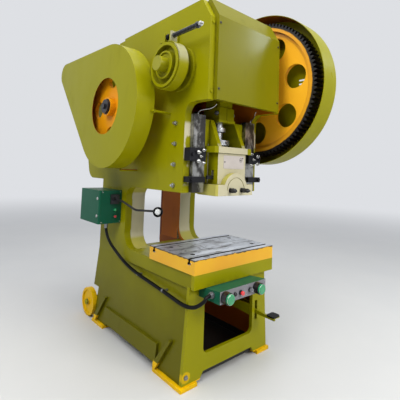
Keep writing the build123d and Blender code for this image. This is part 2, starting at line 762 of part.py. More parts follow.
lining -= rod_x(band_x0 - 1, band_x1 + 1, 0, crank_z, lining_r)
lining -= opening
strap = rod_x(band_x0 - 3, band_x1 + 3, 0, crank_z, lining_r + lining_t + brake_band_t)
strap -= rod_x(band_x0 - 4, band_x1 + 4, 0, crank_z, lining_r + lining_t)
strap -= side([(0, crank_z), (-46, crank_z + 300), (46, crank_z + 300)], band_x0 - 4, band_x1 + 4)
strap += lining
lug_z = crank_z + lining_r + lining_t + brake_band_t - 2
lug_y = 46 * (lining_r + lining_t) / 300
bolt_z = lug_z + 44
for s in (-1, 1):
    lug = box(band_x0 + 8, band_x1 - 8, s * lug_y, s * (lug_y + 20), lug_z - 4, lug_z + 74)
    lug -= rod_x(band_x0 - 1, band_x1 + 1, 0, crank_z, lining_r + lining_t)
    strap += lug
mid_x = (band_x0 + band_x1) / 2
spring_front = -300.0
strap -= rod_y(-lug_y - 30, lug_y + 30, mid_x, bolt_z, 8 + seat_gap)
parts["brake_band"] = strap
bolt = rod_y(spring_front - 30, lug_y + 40, mid_x, bolt_z, 8)
bolt += rod_y(lug_y + 20, lug_y + 34, mid_x, bolt_z, 17)
bolt += rod_y(spring_front, spring_front - 14, mid_x, bolt_z, 22)
parts["brake_bolt"] = bolt
spring = rod_y(spring_front, -lug_y - 20, mid_x, bolt_z, 18)
spring -= rod_y(spring_front - 1, -lug_y - 19, mid_x, bolt_z, 9)
parts["brake_spring"] = spring
anchor = box(-outer, band_x1 - 8, lug_y + 60, lug_y + 96, lug_z - 8, lug_z + 74)
anchor += box(band_x0 + 8, band_x1 - 8, lug_y + 20, lug_y + 61, lug_z + 8, lug_z + 20)
anchor += box(-outer - 14, -outer, lug_y + 20, lug_y + 140, lug_z - 6, lug_z + 110)
parts["side_plate_right"] = mirror(parts["side_plate_left"], about=Plane.YZ)
parts["side_plate_left"] += anchor

# Crankshaft stub and nose that carry the drum.
shaft = parts["crankshaft"]
shaft -= box(left_end - 1, -housing_out - 6, -200, 200, crank_z - 200, crank_z + 200)
shaft += rod_x(drum_x0 + 9, -housing_out, 0, crank_z, stub_r)
shaft += rod_x(drum_x0 - 60, drum_x0 + 10 - seat_gap, 0, crank_z, drum_nose_r)
parts["crankshaft"] = shaft

# Slide with its guide wings, the ball chamber and the half bore for the die shank.
clamp_top = slide_bottom + clamp_h
slide = box(-slide_half, slide_half, slide_front, slide_back, clamp_top + 1, slide_top)
slide += box(-slide_half, slide_half, 0, slide_back, slide_bottom, clamp_top + 1)
ledge_front = slide_front - 14
slide += box(-ledge_half, ledge_half, ledge_front, -wing_front, slide_top - ledge_h, slide_top)
for s in (-1, 1):
    slide += side([(slide_front + 2, slide_top - 1), (-66, cheek_top), (slide_back, cheek_top),
                   (slide_back, slide_top - 1)], s * slide_half, s * (slide_half - cheek_t))
    slide += plan([(s * (slide_half - 1), -wing_front), (s * wing_half, -wing_front),
                   (s * wing_point, 0), (s * wing_half, wing_front),
                   (s * (slide_half - 1), wing_front)], wing_bottom, cheek_top)
chamber_r = ball_r + 10
chamber_low = ball_z - ball_r - throw / 4 - 20
chamber = rod_z(chamber_low, cheek_top, 0, 0, chamber_r)
chamber += rod_z(chamber_low, cheek_top, 0, throw + 2, chamber_r)
chamber += box(-chamber_r, chamber_r, 0, throw + 2, chamber_low, cheek_top)
slide -= chamber
shank_hole = rod_z(slide_bottom - 1, slide_bottom + shank_len, 0, 0, shank_r)
slide -= shank_hole
knock_y = -110.0
knock_low = 1392.0
knock_h = 26.0
knock_d = 22.0
knock_travel = 40.0
slide -= box(-slide_half - 1, slide_half + 1, knock_y - knock_d / 2 - run_gap,
             knock_y + knock_d / 2 + run_gap, knock_low - run_gap,
             knock_low + knock_h + knock_travel + 2)
bolt_x = 62.0
clamp_front = slide_front - clamp_t
clamp_mid = slide_bottom + clamp_h / 2
for s in (-1, 1):
    slide -= rod_y(0, 62, s * bolt_x, clamp_mid, 11 + seat_gap)
parts["slide"] = slide
clamp = box(-clamp_half, clamp_half, clamp_front, -1, slide_bottom + 1, clamp_top)
clamp -= rod_z(slide_bottom, slide_bottom + shank_len, 0, 0, shank_r)
clamp = chamfer(clamp.edges().filter_by(Axis.Z).group_by(Axis.Y)[0], 14)
round_cap = rod_y(clamp_front, slide_front - run_gap, 0, clamp_mid, cap_r)
round_cap &= box(-cap_r, cap_r, clamp_front, slide_front, clamp_top - 1, clamp_mid + cap_r)
clamp += round_cap
dial_groove = rod_y(clamp_front - 1, clamp_front + 5, 0, clamp_mid, dial_r + 5)
dial_groove -= rod_y(clamp_front - 2, clamp_front + 6, 0, clamp_mid, dial_r)
clamp -= dial_groove & box(-cap_r, cap_r, clamp_front - 1, clamp_front + 5, clamp_mid, slide_top)
studs = []
for s in (-1, 1):
    clamp -= rod_y(clamp_front - 1, 1, s * bolt_x, clamp_mid, 11 + seat_gap)
    stud = rod_y(clamp_front, 60, s * bolt_x, clamp_mid, 11)
    stud += hex_head(s * bolt_x, clamp_front, clamp_mid, 34, 20, "-y")
    studs.append(stud)
parts["shank_clamp"] = clamp
parts["clamp_studs"] = Compound(children=[s.solid() for s in studs])
knock_half = slide_half + 62
knock = box(-knock_half, knock_half, knock_y - knock_d / 2, knock_y + knock_d / 2,
            knock_low, knock_low + knock_h)
parts["knockout_bar"] = chamfer(knock.edges().filter_by(Axis.Z), 5)
seat = plan([(-chamber_r, 0), (chamber_r, 0), (chamber_r, throw), (-chamber_r, throw)],
            chamber_low, chamber_low + 5)
seat += rod_z(chamber_low, chamber_low + 5, 0, 0, chamber_r - seat_gap)
seat &= rod_z(chamber_low, chamber_low + 5, 0, 0, chamber_r - seat_gap)
parts["ball_seat"] = seat

# Gibs with V faces, the screws that set them and the clamps on the neck edge.
v_gap = run_gap * 1.6
gibs = []
for s in (-1, 1):
    gib = plan([(s * plate_in, -gib_front), (s * (wing_half + v_gap), -gib_front),
                (s * (wing_half + v_gap), -wing_front), (s * (wing_point + v_gap), 0),
                (s * (wing_half + v_gap), wing_front), (s * (wing_half + v_gap), gib_front),
                (s * plate_in, gib_front)], gib_low, gib_high)
    gibs.append(gib.solid())
parts["gibs"] = Compound(children=gibs)
screws = []
for s in (-1, 1):
    for z in gib_z:
        screw = rod_x(s * plate_in, s * (outer + 30), gib_y, z, 9)
        screw += hex_head(s * outer, gib_y, z, 28, 16, "x" if s > 0 else "-x")
        screws.append(screw)
parts["gib_screws"] = Compound(children=[s.solid() for s in screws])
clamps = []
for s in (-1, 1):
    for z, h in ((gib_low + 75, 42), (gib_low + 230, 96)):
        plate = box(s * (wing_half + 14), s * (outer - 8), neck_front - 30 - (gib_front + neck_front),
                    neck_front, z, z + h)
        plate -= box(s * (wing_half + 10), s * plate_in, -gib_front, neck_front + 1, z - 1, z + h + 1)
        plate += hex_head(s * (plate_in + 28), neck_front - 30 - (gib_front + neck_front),
                          z + h / 2, 26, 14, "-y")
        clamps.append(plate)
parts["gib_clamps"] = Compound(children=[c.solid() for c in clamps])

# Connecting rod in two halves round the crank pin, with the screw and its ball.
block_top = rod_block_low + rod_block_h
rod = rod_x(-rod_half, rod_half, 0, pin_z, rod_eye_r)
for s in (-1, 1):
    rod += box(-rod_half, rod_half, s * 100, s * 152, pin_z - 52, pin_z + 52)
cap = rod & box(-200, 200, -300, 300, pin_z, pin_z + 300)
rod = rod & box(-200, 200, -300, 300, pin_z - 300, pin_z)
rod += side([(-112, pin_z - 50), (112, pin_z - 50), (80, block_top), (-80, block_top)],
            -rod_half + 14, rod_half - 14)
rod += box(-rod_half, rod_half, -rod_block_d, rod_block_d, rod_block_low, block_top)
rod += box(-rod_half - 8, rod_half + 8, -rod_block_d - 6, rod_block_d, rod_block_low - 22,
           rod_block_low)
eye = rod_x(-rod_half - 1, rod_half + 1, 0, pin_z, pin_r + run_gap + 12 + seat_gap)
rod -= eye
rod -= rod_z(rod_block_low - 23, pin_z - 100, 0, 0, screw_r + seat_gap)
rod -= box(-2, 2, -rod_block_d - 7, 0, rod_block_low - 23, block_top + 1)
cap -= eye
cap_bolts = []
for s in (-1, 1):
    cap -= box(-rod_half - 1, rod_half + 1, s * 102, s * 160, pin_z + 52, pin_z + 150)
for s in (-1, 1):
    for x in (-46, 46):
        hole = rod_z(pin_z - 74, pin_z + 53, x, s * 126, 13 + seat_gap)
        rod -= hole
        cap -= hole
        stem = rod_z(pin_z - 52 - 18, pin_z + 52, x, s * 126, 13)
        stem += hex_head(x, s * 126, pin_z + 52, 38, 22)
        cap_bolts.append(stem)
clamp_z = rod_block_low + rod_block_h / 2
pinch = rod_x(-rod_half - 26, rod_half + 26, -rod_block_d + 22, clamp_z, 10)
pinch += hex_head(-rod_half, -rod_block_d + 22, clamp_z, 32, 18, "-x")
pinch += hex_head(rod_half, -rod_block_d + 22, clamp_z, 32, 18, "x")
rod -= rod_x(-rod_half - 1, rod_half + 1, -rod_block_d + 22, clamp_z, 10 + seat_gap)
parts["connecting_rod"] = rod
parts["rod_cap"] = cap
cap_bolts.append(pinch)
parts["rod_bolts"] = Compound(children=[b.solid() for b in cap_bolts])
rod_bush = rod_x(-rod_half, rod_half, 0, pin_z, pin_r + run_gap + 12)
rod_bush -= rod_x(-rod_half - 1, rod_half + 1, 0, pin_z, pin_r + run_gap)
parts["rod_bush"] = rod_bush
nut_low = slide_top + 20
ball_screw = Pos(0, 0, ball_z) * Sphere(ball_r)
ball_screw += rod_z(ball_z, rod_block_low - 60, 0, 0, neck_screw_r)
ball_screw += rod_z(nut_low, nut_low + 40, 0, 0, 92)
for k in range(6):
    a = 60.0 * k + 30
    ball_screw -= Pos(0, 0, nut_low + 20) * Rot(0, 0, a) * Pos(92, 0, 0) * Rot(0, 90, 0) * Cylinder(9, 40)
ball_screw += rod_z(rod_block_low - 92, rod_block_low - 60, 0, 0, 60)
ball_screw += rod_z(rod_block_low - 61, pin_z - 106, 0, 0, screw_r)
parts["ball_screw"] = ball_screw

# Front cover of the head, with its screws on the plate edges.
cover_half = plate_in + 9
cover_out = 34.0
slope = math.hypot(roof_front - head_front, roof_z - head_front_top)
cos_s = (roof_z - head_front_top) / slope
sin_s = (roof_front - head_front) / slope
slope_at = (head_front - cover_out * cos_s, head_front_top + cover_out * sin_s)
bend_z = slope_at[1] - (slope_at[0] - head_front + cover_out) * cos_s / sin_s
top_at = (roof_front - cover_out * cos_s, roof_z + cover_out * sin_s)
cover = side([(head_front, head_bottom + 3), (head_front - cover_out, head_bottom + 3),
              (head_front - cover_out, bend_z), top_at, (roof_front, roof_z),
              (head_front, head_front_top)], -cover_half, cover_half)
t = guard_t
cover -= side([(head_front + 1, head_bottom + 3 + t), (head_front - cover_out + t, head_bottom + 3 + t),
               (head_front - cover_out + t, bend_z - 1), (top_at[0] + t * cos_s + 2, top_at[1] - t - 4),
               (roof_front + 8, roof_z - t), (head_front + 8, head_front_top - t)],
              -cover_half + t, cover_half - t)
parts["front_cover"] = cover
heads = []
for s in (-1, 1):
    for z in (head_bottom + 60, head_front_top - 40):
        head = rod_y(head_front - 7, head_front, s * (cover_half + 24), z, 11)
        heads.append(head)
parts["side_plate_left"] += heads[0] + heads[1]
parts["side_plate_right"] += heads[2] + heads[3]

# Table with T-slots along X, the drop hole and its corner bolts.
table_y1 = table_front + table_d
table = box(-table_w / 2, table_w / 2, table_front, table_y1, bed_top, table_top)
table -= rod_z(bed_top - 1, table_top + 1, 0, 0, table_hole_r)
table_mid = (table_front + table_y1) / 2
slots = (table_mid - slot_pitch * 0.78, table_mid + slot_pitch * 0.78)
for y in slots:
    table -= box(-table_w / 2 - 1, table_w / 2 + 1, y - slot_w / 2, y + slot_w / 2,
                 table_top - slot_depth, table_top + 1)
    table -= box(-table_w / 2 - 1, table_w / 2 + 1, y - slot_head_w / 2, y + slot_head_w / 2,
                 table_top - slot_depth, table_top - slot_depth + slot_head_h)
table_bolts = []
table_bolt_in = 19.0
for s in (-1, 1):
    for y in (table_mid - 130, table_mid + 130):
        x = s * (plate_in - table_bolt_in)
        table -= rod_z(bed_top - 1, table_top + 1, x, y, 11 + seat_gap)
        table -= rod_z(table_top - 24, table_top + 1, x, y, 18)
        parts["bed_box"] -= rod_z(bed_top - bed_slab_t - 1, bed_top + 1, x, y, 11 + seat_gap)
        screw = rod_z(bed_top - 40, table_top - 24, x, y, 11)
        screw += rod_z(table_top - 24, table_top - 6, x, y, 16.5)
        table_bolts.append(screw)
parts["table"] = table
parts["table_bolts"] = Compound(children=[b.solid() for b in table_bolts])

# Electrical cabinet on the left side, with a hinged door on its outer face.
cab_y1 = cab_y + cab_d
cab_z1 = cab_z + cab_h
cab_in = -outer - 1
door_t = 16.0
body_x = cab_x + door_t + 1
corner_r = 24.0
cab_outline = [(body_x, cab_y), (cab_in, cab_y), (cab_in, cab_y1), (body_x, cab_y1)]
cab = plan(cab_outline, cab_z, cab_z1)
cab -= box(body_x - 1, cab_in - cab_wall, cab_y + cab_wall, cab_y1 - cab_wall,
           cab_z + cab_wall, cab_z1 - cab_wall)
cab += box(cab_in, -outer, cab_y + 10, throat_plate_rear - 10, cab_z + 20, cab_z1 - 20)
door = plan([(cab_x, cab_y), (body_x - 1, cab_y), (body_x - 1, cab_y1), (cab_x, cab_y1)],
            cab_z, cab_z1, [(0, door_t - 4)])
door -= box(cab_x + cab_wall, body_x, cab_y + cab_wall + 12, cab_y1 - cab_wall,
            cab_z + cab_wall, cab_z1 - cab_wall)
hinge_x = body_x - 0.5
hinge_y = cab_y1 + 8
hinge_r = 7.0
for z in (cab_z + 40, cab_z1 - 80):
    low = rod_z(z, z + 20, hinge_x, hinge_y, hinge_r)
    low += box(body_x + 1, body_x + 12, cab_y1, cab_y1 + 6, z, z + 20)
    low += box(hinge_x, body_x + 12, hinge_y - 2, hinge_y + 2, z, z + 20)
    low -= rod_z(z - 1, z + 20.1, hinge_x, hinge_y, 3 + run_gap)
    cab += low - box(cab_x - 50, body_x, cab_y1 - 40, cab_y1, z - 1, z + 21)
    high = rod_z(z + 20.5, z + 40, hinge_x, hinge_y, hinge_r)
    high += box(hinge_x - 12, body_x - 2, cab_y1 - 1, hinge_y + 2, z + 20.5, z + 40)
    high += rod_z(z - 2, z + 21, hinge_x, hinge_y, 3)
    door += high
parts["cabinet"] = cab
parts["cabinet_door"] = door
contactor = box(cab_in - cab_wall - 4, cab_in - cab_wall, cab_y + 30, cab_y1 - 30,
                cab_z + 25, cab_z1 - 25)
for y in (cab_y + 60, cab_y + 150, cab_y + 240):
    contactor += box(cab_in - 90, cab_in - cab_wall - 4, y, y + 66, cab_z + 120, cab_z + 225)
contactor += box(cab_in - 50, cab_in - cab_wall - 4, cab_y + 60, cab_y + 300, cab_z + 45,
                 cab_z + 80)
parts["cabinet"] += contactor
cab_front_x = (body_x + cab_in) / 2
socket_half = 42.0
socket = box(cab_front_x - socket_half + 30, cab_front_x + socket_half + 30, cab_y - 12, cab_y,
             cab_z1 - 120, cab_z1 - 36)
socket += rod_y(cab_y - 34, cab_y - 12, cab_front_x + 30, cab_z1 - 78, 15)
lamp_z = cab_z + 118
lamp = rod_y(cab_y - 14, cab_y, cab_front_x + 36, lamp_z, 13)
lamp += Pos(cab_front_x + 36, cab_y - 14, lamp_z) * Sphere(12)
lamp &= box(cab_x, 0, cab_y - 40, cab_y, cab_z, cab_z1)
parts["pilot_lamp"] = lamp
stop_z = cab_z + 60
stop_x = cab_front_x + 38
button_travel = 4.0
collar = rod_y(cab_y - 8, cab_y, stop_x, stop_z, 17)
collar -= rod_y(cab_y - 9, cab_y + 1, stop_x, stop_z, 11 + run_gap)
parts["cabinet"] += collar
parts["cabinet"] -= rod_y(cab_y - 1, cab_y + cab_wall + 1, stop_x, stop_z, 11 + run_gap)
parts["stop_button"] = rod_y(cab_y - 16, cab_y + 12, stop_x, stop_z, 11)

# Work lamp on its bent arm.
arm_points = [
    (cab_front_x + 30, cab_y - 34, cab_z1 - 78),
    (cab_front_x + 30, cab_y - 150, cab_z1 - 84),
    (-outer - 50, cab_y - 330, cab_z1 - 138),
    (-outer + 70, cab_y - 440, cab_z1 - 142),
]
arm_line = FilletPolyline(*arm_points, radius=60)
arm = sweep(Plane(arm_line @ 0, z_dir=arm_line % 0) * Circle(9), path=arm_line)
parts["lamp_arm"] = socket + arm
head_at = arm_line @ 1
head_dir = arm_line % 1
shade_plane = Plane(head_at, z_dir=head_dir)
shade_outline = Polygon((0, 0), (16, 0), (24, 40), (36, 62), (38, 96), (35, 96), (33, 64),
                        (30, 60), (0, 60), align=None)
shade = revolve(Plane.XZ * shade_outline, Axis.Z, 360)
parts["lamp_shade"] = shade_plane.location * shade
bulb = Pos(0, 0, 79) * Sphere(17)
bulb += Pos(0, 0, 65) * Cylinder(13, 10)
parts["lamp_bulb"] = shade_plane.location * bulb

# Two-hand control box under the front edge of the table.
desk_back = front_plate_y
desk_top = bed_low - 2
desk_outline = [(desk_back, desk_z), (desk_y, desk_z), (desk_y, desk_z + desk_h),
                (table_front, desk_top), (desk_back, desk_top)]
desk = side(desk_outline, desk_x0, desk_x1)
desk -= side([(desk_back - 4, desk_z + 4), (desk_y + desk_wall, desk_z + 4),
              (desk_y + desk_wall, desk_z + desk_h - 4), (table_front - 1, desk_top - 4),
              (desk_back - 4, desk_top - 4)], desk_x0 + desk_wall, desk_x1 - desk_wall)
palm_r = 35.0
palm_stem_r = 13.0
palm_out = 62.0          # how far a palm button stands out of the box
guard_out = 44.0
guard_wall = 4.0
palm_gap = 1.0           # between a palm button and its guard
palm_x = (desk_x0 + 46, desk_x1 - 106)
palm_z = desk_z + desk_h / 2
knob_r = 9.0
stop_x2 = -122.0
lamp_x2 = -178.0
select_x = -24.0
for x in palm_x:
    desk -= rod_y(desk_y - 1, desk_y + desk_wall + 1, x, palm_z, palm_stem_r + run_gap)
for x in (stop_x2, select_x):
    desk -= rod_y(desk_y - 1, desk_y + desk_wall + 1, x, palm_z, knob_r + run_gap)
parts["control_box"] = desk
rings = []
for x in palm_x:
    guard = rod_y(desk_y - guard_out, desk_y, x, palm_z, palm_r + palm_gap + guard_wall)
    guard -= rod_y(desk_y - guard_out - 1, desk_y - 6, x, palm_z, palm_r + palm_gap)
    guard -= rod_y(desk_y - 7, desk_y + 1, x, palm_z, palm_stem_r + run_gap)
    rings.append(guard)
for x in (stop_x2, select_x):
    collar = rod_y(desk_y - 12, desk_y, x, palm_z, 16)
    collar -= rod_y(desk_y - 13, desk_y + 1, x, palm_z, knob_r + run_gap)
    rings.append(collar)
signal = rod_y(desk_y - 8, desk_y, lamp_x2, palm_z, 14)
signal += Pos(lamp_x2, desk_y - 8, palm_z) * Sphere(11)
signal &= box(lamp_x2 - 20, lamp_x2 + 20, desk_y - 30, desk_y, palm_z - 20, palm_z + 20)
rings.append(signal)
parts["button_collars"] = Compound(children=[r.solid() for r in rings])
for name, x in (("palm_button_left", palm_x[0]), ("palm_button_right", palm_x[1])):
    button = rod_y(desk_y - palm_out, desk_y - 26, x, palm_z, palm_r)
    button = fillet(button.edges().group_by(Axis.Y)[0], 9)
    button += rod_y(desk_y - 27, desk_y + 24, x, palm_z, palm_stem_r)
    parts[name] = button
stop = rod_y(desk_y - 30, desk_y - 18, stop_x2, palm_z, 15)
stop = fillet(stop.edges().group_by(Axis.Y)[0], 4)
stop += rod_y(desk_y - 19, desk_y + 24, stop_x2, palm_z, knob_r)
parts["emergency_stop"] = stop
select = rod_y(desk_y - 18, desk_y + 24, select_x, palm_z, knob_r)
select += rod_y(desk_y - 20, desk_y - 12 - run_gap, select_x, palm_z, 13)
select += box(select_x - 4, select_x + 4, desk_y - 32, desk_y - 19, palm_z - 12, palm_z + 12)
parts["selector_knob"] = select
gland_z = desk_z + 46
gland_y = (desk_y + table_front) / 2
gland = rod_x(desk_x0 - 26, desk_x0, gland_y, gland_z, 17)
gland += rod_x(desk_x0 - 12, desk_x0, gland_y, gland_z, 22)
gland -= rod_x(desk_x0 - 27, desk_x0 - 8, gland_y, gland_z, hose_r + seat_gap)
cab_gland_x = cab_front_x - 10
cab_gland_y = cab_y + 60
low_gland = rod_z(cab_z - 46, cab_z, cab_gland_x, cab_gland_y, 15)
low_gland += rod_z(cab_z - 12, cab_z, cab_gland_x, cab_gland_y, 20)
low_gland -= rod_z(cab_z - 47, cab_z - 14, cab_gland_x, cab_gland_y, hose_r + seat_gap)
glands = [gland.solid(), low_gland.solid()]

# Pedal that engages the clutch, on its pin behind the front plate.
pedal_pin_y = 60.0
pedal_pin_z = 345.0
pedal_t = 16.0
pad_y = -370.0
arm_low = side([(pedal_pin_y, pedal_pin_z - 24), (pad_y, pedal_pin_z - 26),
                (pad_y, pedal_pin_z - 11), (pedal_pin_y, pedal_pin_z + 24)],
               pedal_x - pedal_t / 2, pedal_x + pedal_t / 2)
arm_low += rod_x(pedal_x - pedal_t / 2, pedal_x + pedal_t / 2, pedal_pin_y, pedal_pin_z, 30)
arm_low -= rod_x(pedal_x - pedal_t, pedal_x + pedal_t, pedal_pin_y, pedal_pin_z, 11 + run_gap)
arm_low += box(pedal_x - 26, pedal_x + 56, pad_y - 6, pad_y + 62, pedal_pin_z - 9, pedal_pin_z - 3)
parts["pedal_lever"] = arm_low
pad = box(pedal_x - 28, pedal_x + 58, pad_y - 8, pad_y + 64, pedal_pin_z - 3, pedal_pin_z + 9)
parts["pedal_pad"] = fillet(pad.edges().filter_by(Axis.Z), 14)
pin_half_len = 40.0
yoke = rod_x(pedal_x - pin_half_len, pedal_x + pin_half_len, pedal_pin_y, pedal_pin_z, 11)
for s in (-1, 1):
    ear = side([(front_plate_y + front_plate_t, pedal_pin_z - 45), (pedal_pin_y, pedal_pin_z - 30),
                (pedal_pin_y + 30, pedal_pin_z), (pedal_pin_y, pedal_pin_z + 30),
                 (front_plate_y + front_plate_t, pedal_pin_z + 45)],
               pedal_x + s * 22, pedal_x + s * 34)
    yoke += ear
yoke += box(pedal_x - 34, pedal_x + 34, front_plate_y + front_plate_t,
            front_plate_y + front_plate_t + 10, pedal_pin_z + 88, pedal_pin_z + 110)
for s in (-1, 1):
    yoke += box(pedal_x + s * 22, pedal_x + s * 34, front_plate_y + front_plate_t,
                front_plate_y + front_plate_t + 10, pedal_pin_z, pedal_pin_z + 110)
parts["front_plate"] += yoke

# Rear transport wheels.
for name, s in (("left", -1), ("right", 1)):
    x0 = s * wheel_x
    x1 = s * (wheel_x - wheel_w)
    wheel = rod_x(x0, x1, wheel_y, wheel_r, wheel_r)
    wheel -= rod_x(x0, s * (wheel_x - 12), wheel_y, wheel_r, wheel_r - 22)
    wheel += rod_x(x0, x1, wheel_y, wheel_r, 34)
    wheel -= rod_x(s * (wheel_x + 1), s * (wheel_x - wheel_w - 1), wheel_y, wheel_r,
                   axle_r + run_gap)
    parts["wheel_" + name] = wheel

# Conduit from the cabinet to the control box, held by clips: straight runs and arcs.
side_x = -outer - hose_r - 3
corner_x = -front_plate_low_half - hose_r - 2
hose_points = [
    (cab_gland_x, cab_gland_y, cab_z - 14),
    (cab_gland_x, cab_gland_y, cab_z - 120),
    (side_x, cab_gland_y - 130, cab_z - 300),
    (side_x, 520, bed_low - 60),
    (side_x - 14, 60, bed_low - 92),
    (side_x - 14, front_plate_y - 40, bed_low - 128),
    (desk_x0 - 70, gland_y, gland_z - 34),
    (desk_x0 - 60, gland_y, gland_z),
    (desk_x0 - 8, gland_y, gland_z),
]


def bends(points):
    """The bend radius at each inner point: 0.45 of the shorter run over tan(half the turn)."""
    radii = []
    for before, at, after in zip(points, points[1:], points[2:]):
        a = Vector(*at) - Vector(*before)
        b = Vector(*after) - Vector(*at)
        turn = math.radians(a.get_angle(b))
        radii.append(0.45 * min(a.length, b.length) / math.tan(turn / 2))
    return radii


def hose_path(points):
    """Straight runs joined by tangent arcs."""
    radii = bends(points)
    print("hose bend radii", [round(v) for v in radii])
    return FilletPolyline(*points, radius=radii)


def hose(line, r):
    """A round hose along a path."""
    return sweep(Plane(line @ 0, z_dir=line % 0) * Circle(r), path=line)


hose_line = hose_path(hose_points)
parts["conduit"] = hose(hose_line, hose_r)
clips = []
for share in clip_at:
    along = Plane(hose_line @ share, z_dir=hose_line % share)
    at = along.origin
    clip = along * Cylinder(hose_r + 3, 16)
    clip += box(at.X, -side_half + 2, at.Y - 8, at.Y + 8, at.Z - 5, at.Z + 5)
    clip -= along * Cylinder(hose_r + seat_gap, 60)
    clip -= parts["side_plate_left"]
    clips.append(clip.solids().sort_by(Axis.X)[0])
parts["conduit_fittings"] = Compound(children=glands + clips)

os.makedirs("parts", exist_ok=True)
for name, shape in parts.items():
    pieces = [Pos(0, -origin_y, 0) * solid for solid in shape.solids()]
    shape = pieces[0] if len(pieces) == 1 else Compound(children=pieces)
    shape.label = name
    export_step(shape, "parts/" + name + ".step")
print(len(parts), "pieces")
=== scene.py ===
import bpy
import bmesh
import json
import math
from mathutils import Matrix, Vector


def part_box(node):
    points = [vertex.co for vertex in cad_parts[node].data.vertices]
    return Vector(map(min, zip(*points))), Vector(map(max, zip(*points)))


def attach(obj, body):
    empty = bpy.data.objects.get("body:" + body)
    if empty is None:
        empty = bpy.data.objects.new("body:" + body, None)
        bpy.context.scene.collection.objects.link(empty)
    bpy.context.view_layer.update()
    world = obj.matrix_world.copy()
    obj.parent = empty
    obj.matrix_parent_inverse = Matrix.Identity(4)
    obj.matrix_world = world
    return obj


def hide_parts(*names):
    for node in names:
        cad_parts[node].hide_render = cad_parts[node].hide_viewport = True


# Looks of the stamping press: finishes, lights, camera and the small pieces round the CAD.
# Metres, +Z up, the front looks along -Y, the origin lies between the foundation bolts.
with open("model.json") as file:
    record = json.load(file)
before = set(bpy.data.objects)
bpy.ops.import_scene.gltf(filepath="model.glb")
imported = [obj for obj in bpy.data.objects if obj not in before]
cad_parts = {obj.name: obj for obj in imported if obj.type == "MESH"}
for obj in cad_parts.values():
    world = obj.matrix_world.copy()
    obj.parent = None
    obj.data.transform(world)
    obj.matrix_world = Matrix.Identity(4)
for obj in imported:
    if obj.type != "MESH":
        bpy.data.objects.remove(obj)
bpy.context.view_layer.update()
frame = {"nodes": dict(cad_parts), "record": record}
nodes = frame["nodes"]
BODY_OF = {n: body for body, names in frame["record"]["behaviour"]["bodies"].items()
           for n in names}


def srgb(red, green, blue):
    """A colour written as 0 to 255, as the renderer wants it."""
    out = []
    for part in (red, green, blue):
        share = part / 255
        out.append(share / 12.92 if share < 0.04045 else ((share + 0.055) / 1.055) ** 2.4)
    return (*out, 1.0)


OLIVE = srgb(146, 142, 2)
OLIVE_SHADED = srgb(84, 80, 2)
OLIVE_PALE = srgb(184, 176, 88)
CREAM = srgb(194, 187, 156)
WORN = srgb(170, 167, 138)
ORANGE = srgb(240, 158, 14)
YELLOW = srgb(232, 184, 6)
BROWN = srgb(178, 96, 14)
LIT_WALL_BROWN = srgb(208, 120, 18)
INNER_ORANGE = srgb(206, 118, 16)
RED_BROWN = srgb(146, 70, 22)
PLATE_GREEN = srgb(20, 86, 62)
GRIME_AND_SHADE = srgb(52, 42, 22)
STEEL = srgb(150, 152, 156)
GREASE_AND_SHADE = srgb(30, 28, 28)
PANEL_GREY = srgb(128, 126, 130)
MOTOR_BLUE = srgb(70, 88, 98)
LENS_GREEN = srgb(14, 130, 78)
LENS_RED = srgb(196, 26, 34)
FLOOR = srgb(205, 203, 198)
BACKDROP = srgb(222, 224, 228)


